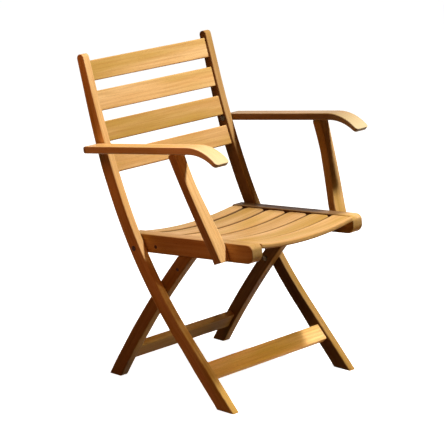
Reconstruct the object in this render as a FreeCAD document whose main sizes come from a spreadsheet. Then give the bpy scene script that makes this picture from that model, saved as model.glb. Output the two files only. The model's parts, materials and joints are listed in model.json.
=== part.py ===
import FreeCAD, Part
import math
import os

import Sketcher
from FreeCAD import Placement, Rotation, Vector

# A folding garden armchair in teak. The frame is +Z up, the chair looks along -Y, and the
# origin is on the floor at the middle of the chair's bounding box. Left is the sitter's
# left, +X. Lengths are millimetres and angles are degrees.
# Leans are measured from the vertical, towards the back for the posts and the arm posts
# and towards the front for the rear legs.

SIZES = {
    "chair_height": (880.0, "floor to the top of the back posts"),
    "frame_width": (504.0, "over the outer faces of the back posts"),
    "post_width": (24.0, "post, across the chair"),
    "foot_forward": (261.6, "front corner of the post's foot, ahead of the origin"),
    "foot_lean": (44.1, "lean of the post's straight foot run"),
    "foot_run": (245.4, "length of the straight foot run"),
    "knee_radius": (1196.0, "front edge, bend between the foot run and the seat"),
    "seat_lean": (25.5, "lean where the two bends meet"),
    "back_radius": (2384.0, "front edge, bend behind the sitter"),
    "back_lean": (18.1, "lean of the straight top of the post"),
    "post_depth": (38.0, "post, front edge to back edge"),
    "foot_depth": (43.0, "the same at the floor"),
    "tip_depth": (25.0, "the same at the top"),
    "taper_lean": (21.6, "lean of the post where its back edge starts to taper"),
    "tip_round": (11.0, "corners of the post's top"),
    "edge_bevel": (2.0, "bevel on the long edges of sawn pieces"),
    "seat_hinge_back": (94.4, "seat hinge, behind the origin"),
    "seat_hinge_height": (381.8, "seat hinge, above the floor"),
    "leg_hinge_back": (18.6, "hinge where the legs cross, behind the origin"),
    "leg_hinge_height": (275.7, "the same, above the floor"),
    "arm_hinge_back": (206.3, "arm hinge, behind the origin"),
    "arm_hinge_height": (641.4, "arm hinge, above the floor"),
    "arm_post_hinge_front": (202.8, "hinge of the arm post on the rail, ahead of the origin"),
    "arm_post_hinge_height": (408.0, "the same, above the floor"),
    "bolt_radius": (4.0, "hinge bolts"),
    "bolt_play": (0.05, "radial clearance of a bolt in its hole"),
    "bolt_head_radius": (6.5, "hexagonal head of a hinge bolt, over its corners"),
    "bolt_head": (4.5, "height of a bolt's head"),
    "nut_radius": (7.4, "nut on a hinge bolt, over its corners"),
    "nut_height": (4.5, "nut, along the bolt"),
    "sink_radius": (7.5, "counterbore for the seat bolt's head"),
    "sink_depth": (6.5, "depth of that counterbore, where a plug covers the head"),
    "leg_bolt_reach": (17.0, "leg bolt's end, inside the post"),
    "arm_bolt_reach": (38.0, "arm bolt's end, inside the arm"),
    "arm_post_bolt_reach": (24.0, "arm post bolt's end, inside the arm post"),
    "bolt_end_play": (1.2, "blind hole past the bolt's end"),
    "washer_radius": (9.0, "washers between hinged pieces"),
    "washer_play": (0.1, "clearance on each side of a washer"),
    "back_slat_height": (55.0, "back slat, along the post"),
    "back_slat_depth": (16.0, "back slat, front to back"),
    "back_slat_recess": (7.0, "back slat's face behind the post's front edge"),
    "back_slat_pitch": (78.3, "height from one back slat to the next"),
    "top_slat_drop": (43.2, "middle of the top slat below the chair's top"),
    "tenon_length": (15.0, "tenons of slats and stretchers"),
    "tenon_depth": (9.0, "thickness of those tenons"),
    "tenon_shoulder": (7.0, "slat's edge to its tenon"),
    "tenon_play": (0.1, "clearance around a tenon"),
    "stretcher_height": (48.0, "stretchers, along the leg"),
    "stretcher_depth": (20.0, "stretchers, front to back"),
    "front_stretcher_run": (137.7, "front stretcher's middle, along the post from its foot"),
    "front_stretcher_recess": (7.0, "front stretcher's face behind the post's front edge"),
    "leg_gap": (5.0, "between a post and a rear leg"),
    "leg_width": (28.0, "rear leg, across the chair"),
    "leg_depth": (37.0, "rear leg, front edge to back edge"),
    "leg_lean": (36.5, "lean of the rear leg at its hinge"),
    "leg_bow_radius": (2700.0, "bow of the rear leg's middle line"),
    "leg_top_play": (0.5, "between the top of the rear leg and the rail that it carries"),
    "rear_stretcher_arc": (5.2, "rear stretcher, turn of the leg's bow below the hinge"),
    "leg_pin_radius": (5.0, "cross pin near the top of the rear leg"),
    "leg_pin_front": (37.2, "that pin, ahead of the origin"),
    "leg_pin_height": (342.7, "that pin, above the floor"),
    "seat_slope": (5.54, "rise of the seat towards the front"),
    "rail_gap": (5.0, "between a post and a seat rail"),
    "rail_width": (39.0, "seat rail, across the chair"),
    "rail_height": (50.2, "seat rail, bottom to top"),
    "rail_above_hinge": (35.0, "top of the rail over the seat hinge"),
    "rail_front": (397.0, "front end of the rail, ahead of the seat hinge"),
    "rail_behind": (38.5, "rear end of the rail, behind the seat hinge"),
    "rail_nose_round": (14.0, "lower front corner of the rail"),
    "rail_heel_round": (34.0, "lower rear corner of the rail"),
    "rail_top_bevel": (3.0, "upper corners of the rail's ends"),
    "slat_pitch": (77.5, "seat slat to seat slat"),
    "slat_gap": (6.0, "gap between seat slats"),
    "slat_thickness": (13.0, "seat slats"),
    "slat_dish": (14.0, "hollow of a seat slat from its ends to its middle"),
    "slat_inset": (5.5, "ends of the middle slats below the rail's top"),
    "slat_rise": (2.8, "rise of the first and last slats over the middle ones"),
    "slat_bevel": (2.2, "bevel on the long edges of the seat slats"),
    "rear_slat_width": (47.3, "the narrow slat at the back of the seat"),
    "slat_tenon_depth": (7.0, "thickness of a seat slat's tenon"),
    "slat_tenon_drop": (3.0, "slat's face to its tenon"),
    "bearer_front": (53.5, "cross bearer under the seat, ahead of the seat hinge"),
    "bearer_width": (24.0, "cross bearer, front to back"),
    "bearer_bottom": (12.0, "bottom of the bearer, below the seat hinge"),
    "bearer_play": (0.3, "bearer's top below the slats"),
    "bearer_plug_height": (2.7, "plug in the rail at the bearer's end, above the seat hinge"),
    "bearer_plug_radius": (5.0, "that plug"),
    "bearer_plug": (6.0, "length of that plug"),
    "arm_gap": (1.0, "between a post and an arm"),
    "arm_width": (54.0, "arm, across the chair"),
    "arm_thickness": (19.0, "arm, top to underside"),
    "arm_slope": (8.3, "rise of the arm towards the front"),
    "arm_behind": (20.0, "rear end of the arm, behind its hinge"),
    "arm_straight": (358.0, "straight top of the arm, ahead of its hinge"),
    "arm_curl_radius": (133.0, "top of the arm where it curls down"),
    "arm_curl": (48.3, "turn of that curl"),
    "arm_rear_corner": (20.0, "rear corners of the arm, seen from above"),
    "arm_front_corner": (9.0, "front corners of the arm, seen from above"),
    "arm_bevel": (2.6, "bevel on the long edges of the arm"),
    "arm_hinge_inset": (7.0, "upper hinge of the arm post, from its back face and from the arm"),
    "arm_post_depth": (25.0, "arm post, front to back"),
    "arm_post_play": (0.3, "arm post's top below the arm"),
    "arm_post_foot": (20.0, "arm post's lower end below its hinge"),
    "arm_post_bottom_width": (37.0, "arm post across the chair, at its lower end"),
    "arm_post_top_width": (29.0, "arm post across the chair, at the arm"),
    "arm_post_knee": (38.0, "start of the arm post's slope over its lower hinge"),
    "rail_washer": (1.0, "between a rail and an arm post"),
    "tang_thickness": (3.0, "steel tang under the arm"),
    "tang_play": (0.2, "clearance on each side of the tang in the arm post"),
    "tang_radius": (6.0, "eight-sided end of the tang, over its corners"),
    "hinge_plate_length": (34.0, "plate of the tang, along the arm"),
    "hinge_plate_width": (20.0, "plate of the tang, across the arm"),
    "hinge_plate_thickness": (2.0, "plate of the tang, let into the arm"),
    "hinge_pin_radius": (2.5, "pin through the tang"),
    "hinge_pin_cover": (3.0, "wood between the pin's end and the arm post's outer face"),
}

LEFT = 1
RIGHT = -1
SIDE_NAMES = {LEFT: "left", RIGHT: "right"}
BACK_SLATS = 4
SEAT_SLATS = 6
NUT_SIDES = 6
WASHER_SIDES = 12

doc = FreeCAD.newDocument("folding_armchair")
sheet = doc.addObject("Spreadsheet::Sheet", "Sizes")
for row, (alias, (value, note)) in enumerate(SIZES.items(), start=1):
    sheet.set(f"A{row}", alias)
    sheet.set(f"B{row}", str(value))
    sheet.set(f"C{row}", note)
    sheet.setAlias(f"B{row}", alias)
doc.recompute()


class Size:
    """A number together with the formula that gives it from the cells of the sheet."""

    def __init__(self, value, text):
        self.value = value
        self.text = text

    def __add__(self, other):
        other = plain(other)
        return Size(self.value + other.value, f"({self.text} + {other.text})")

    def __sub__(self, other):
        other = plain(other)
        return Size(self.value - other.value, f"({self.text} - {other.text})")

    def __mul__(self, other):
        other = plain(other)
        return Size(self.value * other.value, f"({self.text} * {other.text})")

    def __truediv__(self, other):
        other = plain(other)
        return Size(self.value / other.value, f"({self.text} / {other.text})")

    def __neg__(self):
        return self * -1

    __radd__ = __add__
    __rmul__ = __mul__

    def __rsub__(self, other):
        return plain(other) - self


def plain(number):
    """A plain number as a Size."""
    return number if isinstance(number, Size) else Size(float(number), f"({number})")


def size(alias):
    return Size(SIZES[alias][0], f"Sizes.{alias}")


def sine(angle):
    return Size(math.sin(math.radians(angle.value)), f"sin({angle.text})")


def cosine(angle):
    return Size(math.cos(math.radians(angle.value)), f"cos({angle.text})")


def root(number):
    return Size(math.sqrt(number.value), f"sqrt({number.text})")


def arc_sine(number):
    return Size(math.degrees(math.asin(number.value)), f"(asin({number.text}) / 1 deg)")


def arc_tangent(number):
    return Size(math.degrees(math.atan(number.value)), f"(atan({number.text}) / 1 deg)")


class Point:
    """A point or a direction in a flat drawing, across and up."""

    def __init__(self, across, up):
        self.across = plain(across)
        self.up = plain(up)

    def __add__(self, other):
        return Point(self.across + other.across, self.up + other.up)

    def __sub__(self, other):
        return Point(self.across - other.across, self.up - other.up)

    def __mul__(self, factor):
        return Point(self.across * factor, self.up * factor)

    def turned(self, angle):
        """The same vector turned anticlockwise."""
        c, s = cosine(angle), sine(angle)
        return Point(self.across * c - self.up * s, self.across * s + self.up * c)

    def vector(self):
        return Vector(self.across.value, self.up.value, 0)


def dot(a, b):
    return a.across * b.across + a.up * b.up


def along(lean):
    """Direction of a piece that leans back by this angle, seen from the side."""
    return Point(sine(lean), cosine(lean))


def inward(lean):
    """Direction from the front edge of that piece to its back edge."""
    return Point(cosine(lean), -sine(lean))


# Drawing and feature helpers

def new_body(name):
    body = doc.addObject("PartDesign::Body", name)
    body.Label = name
    return body


def new_sketch(body, name, role, offset=None):
    """A sketch on one of the body's own origin planes, moved along its normal by offset."""
    sketch = body.newObject("Sketcher::SketchObject", f"{body.Name}_{name}")
    plane = next(item for item in body.Origin.OriginFeatures if item.Role == role)
    sketch.AttachmentSupport = [(plane, "")]
    sketch.MapMode = "FlatFace"
    if offset is not None:
        sketch.AttachmentOffset = Placement(Vector(0, 0, offset.value), Rotation())
        sketch.setExpression("AttachmentOffset.Base.z", offset.text)
    return sketch


def bind(sketch, constraints):
    """Add constraints, each with the Size that drives it."""
    for constraint, driver in constraints:
        index = sketch.addConstraint(constraint)
        if driver is not None and "Sizes." in driver.text:
            sketch.setExpression(f"Constraints[{index}]", driver.text)


def fix_point(geometry, end, point):
    """Constraints that hold one end of a segment at a point."""
    held = []
    for kind, axis, where in (("DistanceX", -2, point.across), ("DistanceY", -1, point.up)):
        if where.value == 0:
            held.append((Sketcher.Constraint("PointOnObject", geometry, end, axis), None))
        else:
            held.append((Sketcher.Constraint(kind, -1, 1, geometry, end, where.value), where))
    return held


def bend_geometry(start, finish, radius, turn):
    """The arc from start to finish that turns left (1) or right (-1)."""
    chord = finish - start
    half = chord.Length / 2
    left = Vector(-chord.y, chord.x, 0).normalize()
    centre = (start + finish) / 2 + left * turn * math.sqrt(max(radius ** 2 - half ** 2, 0))
    angles = [math.atan2(p.y - centre.y, p.x - centre.x) for p in (start, finish)]
    return Part.ArcOfCircle(Part.Circle(centre, Vector(0, 0, 1), radius), *angles[::turn])


def draw_outline(sketch, points, bends=None):
    """A closed outline. bends maps a segment's number to its radius and its turn."""
    bends = bends or {}
    constraints = []
    ends = []
    for index, point in enumerate(points):
        start = point.vector()
        finish = points[(index + 1) % len(points)].vector()
        if index in bends:
            radius, turn = bends[index]
            geometry = sketch.addGeometry(bend_geometry(start, finish, radius.value, turn))
            constraints.append((Sketcher.Constraint("Radius", geometry, radius.value), radius))
            ends.append((geometry, 1, 2) if turn > 0 else (geometry, 2, 1))
        else:
            ends.append((sketch.addGeometry(Part.LineSegment(start, finish)), 1, 2))
    for index, (geometry, first, last) in enumerate(ends):
        following, start_of_next, _ = ends[(index + 1) % len(ends)]
        constraints.append((Sketcher.Constraint("Coincident", geometry, last,
                                                following, start_of_next), None))
        constraints += fix_point(geometry, first, points[index])
    bind(sketch, constraints)


def draw_circle(sketch, centre, radius):
    geometry = sketch.addGeometry(Part.Circle(centre.vector(), Vector(0, 0, 1), radius.value))
    bind(sketch, [(Sketcher.Constraint("Radius", geometry, radius.value), radius)]
         + fix_point(geometry, 3, centre))


def box_corners(centre, half_across, half_up, angle=None):
    """Corners of a rectangle, turned anticlockwise about its centre."""
    corners = []
    for across, up in ((-1, -1), (1, -1), (1, 1), (-1, 1)):
        corner = Point(half_across * across, half_up * up)
        corners.append(centre + (corner.turned(angle) if angle is not None else corner))
    return corners


def pad(body, sketch, length, reverse=False, middle=False):
    """Thicken a sketch into the body."""
    feature = body.newObject("PartDesign::Pad", f"{sketch.Name}_pad")
    feature.Profile = sketch
    feature.Length = length.value
    feature.setExpression("Length", length.text)
    feature.Midplane = middle
    feature.Reversed = reverse
    sketch.Visibility = False
    body.Tip = feature
    doc.recompute()
    return feature


def pocket(body, sketch, length, reverse=False, middle=False):
    """Cut a sketch out of the body, and prove that it took something away."""
    before = body.Shape.Volume
    feature = body.newObject("PartDesign::Pocket", f"{sketch.Name}_pocket")
    feature.Profile = sketch
    feature.Length = length.value
    feature.setExpression("Length", length.text)
    feature.Midplane = middle
    feature.Reversed = reverse
    sketch.Visibility = False
    body.Tip = feature
    doc.recompute()
    if not body.Shape.Volume < before - 1:
        raise RuntimeError(f"{sketch.Name} cuts nothing")
    return feature


def bevel_edges(body, width, wanted):
    """A bevel on the edges of the body's tip that wanted() picks."""
    base = body.Tip
    edges = [f"Edge{number}" for number, edge in enumerate(base.Shape.Edges, start=1)
             if wanted(edge)]
    feature = body.newObject("PartDesign::Chamfer", f"{base.Name}_bevel")
    feature.Base = (base, edges)
    feature.Size = width.value
    feature.setExpression("Size", width.text)
    body.Tip = feature
    doc.recompute()
    return feature


def runs_across(edge):
    """True for an edge parallel to the X axis."""
    box = edge.BoundBox
    return box.YLength < 1e-4 and box.ZLength < 1e-4


def runs_in_side_view(edge):
    return edge.BoundBox.XLength < 1e-4


def place(item, x, point, lean=None):
    """Put a sub-part at x and at a point of the side view, leaning back by an angle."""
    rotation = Rotation(Vector(1, 0, 0), -lean.value) if lean is not None else Rotation()
    item.Placement = Placement(Vector(x.value, point.across.value, point.up.value), rotation)
    item.setExpression("Placement.Base.x", x.text)
    item.setExpression("Placement.Base.y", point.across.text)
    item.setExpression("Placement.Base.z", point.up.text)
    if lean is not None:
        item.setExpression("Placement.Rotation.Angle", (-lean).text)


# Lines across the chair

post_inner = size("frame_width") / 2 - size("post_width")
post_outer = size("frame_width") / 2
leg_outer = post_inner - size("leg_gap")
leg_inner = leg_outer - size("leg_width")
rail_outer = post_inner - size("rail_gap")
rail_inner = rail_outer - size("rail_width")
arm_inner = post_outer + size("arm_gap")
arm_outer = arm_inner + size("arm_width")
arm_middle = arm_inner + size("arm_width") / 2
arm_post_inner = rail_outer + size("rail_washer")

# Hinges, in the side view

seat_hinge = Point(size("seat_hinge_back"), size("seat_hinge_height"))
leg_hinge = Point(size("leg_hinge_back"), size("leg_hinge_height"))
arm_hinge = Point(size("arm_hinge_back"), size("arm_hinge_height"))
arm_post_hinge = Point(-size("arm_post_hinge_front"), size("arm_post_hinge_height"))
# The seat, the arm, the post and the arm post are a parallelogram.
arm_top_hinge = arm_hinge + arm_post_hinge - seat_hinge

bolt_hole = size("bolt_radius") + size("bolt_play")

# The curved back post, front edge from the floor up

foot_front = Point(-size("foot_forward"), 0)
run_end = foot_front + along(size("foot_lean")) * size("foot_run")
knee_centre = run_end - inward(size("foot_lean")) * size("knee_radius")
bend_end = knee_centre + inward(size("seat_lean")) * size("knee_radius")
back_centre = bend_end - inward(size("seat_lean")) * size("back_radius")
straight_start = back_centre + inward(size("back_lean")) * size("back_radius")


def front_edge(height):
    """Point of the post's front edge at this height, and the lean there.

    The point is on the bend behind the sitter up to its end, and on the straight top
    above it.
    """
    lean = arc_sine((back_centre.up - height) / size("back_radius"))
    if lean.value > size("back_lean").value:
        return back_centre + inward(lean) * size("back_radius"), lean
    lean = size("back_lean")
    rise = (height - straight_start.up) / cosine(lean)
    return straight_start + along(lean) * rise, lean


def back_slat_seat(number):
    """Middle of a back slat's face and its lean, number 0 at the top."""
    height = size("chair_height") - size("top_slat_drop") - size("back_slat_pitch") * number
    edge, lean = front_edge(height)
    return edge + inward(lean) * size("back_slat_recess"), lean


front_stretcher_seat = (foot_front + along(size("foot_lean")) * size("front_stretcher_run")
                        + inward(size("foot_lean")) * size("front_stretcher_recess"))


def tenon_section(face_point, lean, height, depth, play=0):
    """Corners of a slat's tenon, or of its mortise with play, in the side view."""
    centre = face_point + inward(lean) * (depth / 2)
    return box_corners(centre, size("tenon_depth") / 2 + play,
                       height / 2 - size("tenon_shoulder") + play, -lean)


def make_post(side):
    body = new_body(f"post_{SIDE_NAMES[side]}")
    sketch = new_sketch(body, "outline", "YZ_Plane")
    depth = size("post_depth")
    foot_lean, back_lean, corner = size("foot_lean"), size("back_lean"), size("tip_round")
    back_knee = run_end + inward(foot_lean) * depth
    below_foot = foot_front + inward(foot_lean) * size("foot_depth")
    drop = back_knee.up / (back_knee.up - below_foot.up)
    back_foot = Point((back_knee + (below_foot - back_knee) * drop).across, 0)
    # The front corner's arc touches the chair's full height.
    tip_start = straight_start + inward(back_lean) * corner
    tip_rise = (size("chair_height") - corner - tip_start.up) / cosine(back_lean)
    front_corner = tip_start + along(back_lean) * tip_rise
    back_corner = front_corner + inward(back_lean) * (size("tip_depth") - corner * 2)
    points = [
        foot_front,
        run_end,
        bend_end,
        straight_start,
        front_corner - inward(back_lean) * corner,
        front_corner + along(back_lean) * corner,
        back_corner + along(back_lean) * corner,
        back_corner + inward(back_lean) * corner,
        back_centre + inward(size("taper_lean")) * (size("back_radius") + depth),
        bend_end + inward(size("seat_lean")) * depth,
        back_knee,
        back_foot,
    ]
    bends = {1: (size("knee_radius"), 1), 2: (size("back_radius"), 1), 4: (corner, -1),
             6: (corner, -1), 8: (size("back_radius") + depth, -1),
             9: (size("knee_radius") + depth, -1)}
    draw_outline(sketch, points, bends)
    pad(body, sketch, size("post_width"), reverse=side < 0)
    bevel_edges(body, size("edge_bevel"), runs_in_side_view)

    mortises = new_sketch(body, "mortises", "YZ_Plane")
    for number in range(BACK_SLATS):
        face, lean = back_slat_seat(number)
        draw_outline(mortises, tenon_section(face, lean, size("back_slat_height"),
                                             size("back_slat_depth"), size("tenon_play")))
    draw_outline(mortises, tenon_section(front_stretcher_seat, foot_lean,
                                         size("stretcher_height"), size("stretcher_depth"),
                                         size("tenon_play")))
    pocket(body, mortises, size("tenon_length") + size("tenon_play"), reverse=side > 0)

    holes = new_sketch(body, "bolt_holes", "YZ_Plane")
    for hinge in (seat_hinge, arm_hinge):
        draw_circle(holes, hinge, bolt_hole)
    pocket(body, holes, size("post_width"), reverse=side > 0)
    blind = new_sketch(body, "leg_bolt_hole", "YZ_Plane")
    draw_circle(blind, leg_hinge, bolt_hole)
    pocket(body, blind, size("leg_bolt_reach") + size("bolt_end_play"), reverse=side > 0)
    sink = new_sketch(body, "counterbore", "YZ_Plane", size("post_width") * side)
    draw_circle(sink, seat_hinge, size("sink_radius"))
    pocket(body, sink, size("sink_depth"), reverse=side < 0)
    place(body, post_inner * side, Point(0, 0))
    return body


def make_cross_slat(name, face, lean, height, depth, half_length):
    """A flat slat or stretcher with a tenon at each end, its face at the local origin."""
    body = new_body(name)
    section = new_sketch(body, "section", "YZ_Plane")
    draw_outline(section, box_corners(Point(depth / 2, 0), depth / 2, height / 2))
    pad(body, section, half_length * 2, middle=True)
    bevel_edges(body, size("edge_bevel"), runs_across)
    tenons = new_sketch(body, "tenons", "YZ_Plane")
    draw_outline(tenons, box_corners(Point(depth / 2, 0), size("tenon_depth") / 2,
                                     height / 2 - size("tenon_shoulder")))
    pad(body, tenons, (half_length + size("tenon_length")) * 2, middle=True)
    place(body, plain(0), face, lean)
    return body


# The bowed rear leg, arcs about a centre ahead of and below it

leg_centre = leg_hinge - Point(cosine(size("leg_lean")), sine(size("leg_lean"))) \
    * size("leg_bow_radius")
seat_up = Point(sine(size("seat_slope")), cosine(size("seat_slope")))
rail_underside = size("rail_above_hinge") - size("rail_height")


def leg_line(turn, offset):
    """Point beside the leg's middle line, turn degrees of the bow below the hinge."""
    angle = size("leg_lean") - turn
    return leg_centre + Point(cosine(angle), sine(angle)) * (size("leg_bow_radius") + offset)


def leg_meets(offset, normal, distance):
    """Where an edge of the leg crosses the line dot(normal, point) = distance."""
    radius = size("leg_bow_radius") + offset
    reach = distance - dot(normal, leg_centre)
    aside = root(radius * radius - reach * reach)
    return leg_centre + normal * reach + Point(normal.up, -normal.across) * aside


def make_rear_leg(side):
    body = new_body(f"rear_leg_{SIDE_NAMES[side]}")
    half = size("leg_depth") / 2
    floor = Point(0, 1)
    top = dot(seat_up, seat_hinge) + rail_underside - size("leg_top_play")
    points = [leg_meets(-half, floor, plain(0)), leg_meets(half, floor, plain(0)),
              leg_meets(half, seat_up, top), leg_meets(-half, seat_up, top)]
    bends = {1: (size("leg_bow_radius") + half, 1), 3: (size("leg_bow_radius") - half, -1)}
    sketch = new_sketch(body, "outline", "YZ_Plane")
    draw_outline(sketch, [point - leg_hinge for point in points], bends)
    pad(body, sketch, size("leg_width"), reverse=side > 0)
    bevel_edges(body, size("edge_bevel"), lambda edge: runs_in_side_view(edge)
                and edge.Length > size("leg_depth").value * 2)
    mortise = new_sketch(body, "mortise", "YZ_Plane", -size("leg_width") * side)
    face = leg_line(size("rear_stretcher_arc"), -size("stretcher_depth") / 2) - leg_hinge
    lean = size("rear_stretcher_arc") - size("leg_lean")
    draw_outline(mortise, tenon_section(face, lean, size("stretcher_height"),
                                        size("stretcher_depth"), size("tenon_play")))
    pocket(body, mortise, size("tenon_length") + size("tenon_play"), reverse=side > 0)
    holes = new_sketch(body, "holes", "YZ_Plane")
    draw_circle(holes, Point(0, 0), bolt_hole)
    pin = Point(-size("leg_pin_front"), size("leg_pin_height")) - leg_hinge
    draw_circle(holes, pin, size("leg_pin_radius"))
    pocket(body, holes, size("leg_width"), reverse=side < 0)
    place(body, leg_outer * side, leg_hinge)
    return body


# The seat lies in a frame of its own: its origin is on the seat hinge, its Y axis runs
# back along the rails and its Z axis is square to them.

def seat_point(point):
    """A point of the side view in the seat's own frame."""
    return (point - seat_hinge).turned(size("seat_slope"))


def seat_to_chair(point):
    return seat_hinge + point.turned(-size("seat_slope"))


slat_span = rail_inner
dish_radius = (slat_span * slat_span + size("slat_dish") * size("slat_dish")) \
    / (size("slat_dish") * 2)
slat_width = size("slat_pitch") - size("slat_gap")


def slat_middle(number):
    """Y of a slat's middle in the seat's frame, number 0 at the front."""
    front = -size("rail_front") + slat_width / 2
    if number < SEAT_SLATS - 1:
        return front + size("slat_pitch") * number
    last_edge = front + size("slat_pitch") * (number - 0.5) + size("slat_gap") / 2
    return last_edge + size("rear_slat_width") / 2


def slat_size(number):
    return slat_width if number < SEAT_SLATS - 1 else size("rear_slat_width")


def slat_height(number):
    """Z of the ends of a slat in the seat's frame: the seat is a little hollow."""
    middle = (SEAT_SLATS - 1) / 2
    share = ((number - middle) / middle) ** 2
    return size("rail_above_hinge") - size("slat_inset") + size("slat_rise") * share


def place_in_seat(item, x, y, z):
    place(item, x, seat_to_chair(Point(y, z)), size("seat_slope"))


def make_seat_rail(side):
    body = new_body(f"seat_rail_{SIDE_NAMES[side]}")
    top, bottom = size("rail_above_hinge"), rail_underside
    front, rear = -size("rail_front"), size("rail_behind")
    nose, heel, corner = (size("rail_nose_round"), size("rail_heel_round"),
                          size("rail_top_bevel"))
    points = [Point(front + nose, bottom), Point(rear - heel, bottom),
              Point(rear, bottom + heel), Point(rear, top - corner),
              Point(rear - corner, top), Point(front + corner, top),
              Point(front, top - corner), Point(front, bottom + nose)]
    sketch = new_sketch(body, "outline", "YZ_Plane")
    draw_outline(sketch, points, {1: (heel, 1), 7: (nose, 1)})
    pad(body, sketch, size("rail_width"), reverse=side > 0)
    bevel_edges(body, size("edge_bevel"), runs_in_side_view)
    mortises = new_sketch(body, "mortises", "YZ_Plane", -size("rail_width") * side)
    for number in range(SEAT_SLATS):
        centre = Point(slat_middle(number), slat_height(number) - size("slat_tenon_drop")
                       - size("slat_tenon_depth") / 2)
        half = slat_size(number) / 2 - size("tenon_shoulder") + size("tenon_play")
        draw_outline(mortises, box_corners(centre, half, size("slat_tenon_depth") / 2
                                           + size("tenon_play")))
    pocket(body, mortises, size("tenon_length") + size("tenon_play"), reverse=side > 0)
    holes = new_sketch(body, "hinge_holes", "YZ_Plane")
    draw_circle(holes, Point(0, 0), bolt_hole)
    draw_circle(holes, seat_point(arm_post_hinge), bolt_hole)
    pocket(body, holes, size("rail_width"), reverse=side < 0)
    plug_hole = new_sketch(body, "plug_hole", "YZ_Plane")
    draw_circle(plug_hole, Point(-size("bearer_front"), size("bearer_plug_height")),
                size("bearer_plug_radius"))
    pocket(body, plug_hole, size("bearer_plug"), reverse=side < 0)
    place_in_seat(body, rail_outer * side, plain(0), plain(0))
    return body


def make_seat_slat(number):
    """A dished slat: two arcs about one centre over the seat, and a tenon at each end."""
    body = new_body(f"seat_slat_{number + 1}")
    end_drop = size("slat_thickness") * dish_radius / root(
        dish_radius * dish_radius - slat_span * slat_span)
    under_radius = root(slat_span * slat_span
                        + (dish_radius - size("slat_dish") + end_drop)
                        * (dish_radius - size("slat_dish") + end_drop))
    section = new_sketch(body, "section", "XZ_Plane")
    draw_outline(section, [Point(-slat_span, 0), Point(-slat_span, -end_drop),
                           Point(slat_span, -end_drop), Point(slat_span, 0)],
                 {1: (under_radius, 1), 3: (dish_radius, -1)})
    pad(body, section, slat_size(number), middle=True)
    bevel_edges(body, size("slat_bevel"), lambda edge: edge.BoundBox.YLength < 1e-4
                and edge.BoundBox.XLength > slat_span.value)
    tenons = new_sketch(body, "tenons", "XZ_Plane")
    for side in (LEFT, RIGHT):
        root_depth = size("tenon_shoulder") / 2
        centre = Point((slat_span + size("tenon_length") / 2 - root_depth / 2) * side,
                       -size("slat_tenon_drop") - size("slat_tenon_depth") / 2)
        draw_outline(tenons, box_corners(centre, (size("tenon_length") + root_depth) / 2,
                                         size("slat_tenon_depth") / 2))
    pad(body, tenons, slat_size(number) - size("tenon_shoulder") * 2, middle=True)
    place_in_seat(body, plain(0), slat_middle(number), slat_height(number))
    return body


def make_bearer():
    """The cross bearer under the seat, its top dished like the slats that lie on it."""
    body = new_body("seat_bearer")
    under = (size("rail_above_hinge") - size("slat_inset") - size("slat_thickness")
             - size("bearer_play"))
    bottom = -size("bearer_bottom")
    sketch = new_sketch(body, "section", "XZ_Plane")
    draw_outline(sketch, [Point(-slat_span, bottom), Point(slat_span, bottom),
                          Point(slat_span, under), Point(-slat_span, under)],
                 {2: (dish_radius + size("slat_thickness"), -1)})
    pad(body, sketch, size("bearer_width"), middle=True)
    bevel_edges(body, size("edge_bevel"), lambda edge: edge.BoundBox.YLength < 1e-4
                and edge.BoundBox.XLength > slat_span.value and edge.BoundBox.ZLength < 1e-4)
    place_in_seat(body, plain(0), -size("bearer_front"), plain(0))
    return body


# The arm lies in a frame of its own too: its origin is on the arm hinge and its Y axis
# runs back along its straight top.

def arm_point(point):
    return (point - arm_hinge).turned(size("arm_slope"))


arm_underside = arm_point(arm_top_hinge).up + size("arm_hinge_inset")
arm_top = arm_underside + size("arm_thickness")


def place_in_arm(item, x, point):
    place(item, x, arm_hinge + point.turned(-size("arm_slope")), size("arm_slope"))


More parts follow.
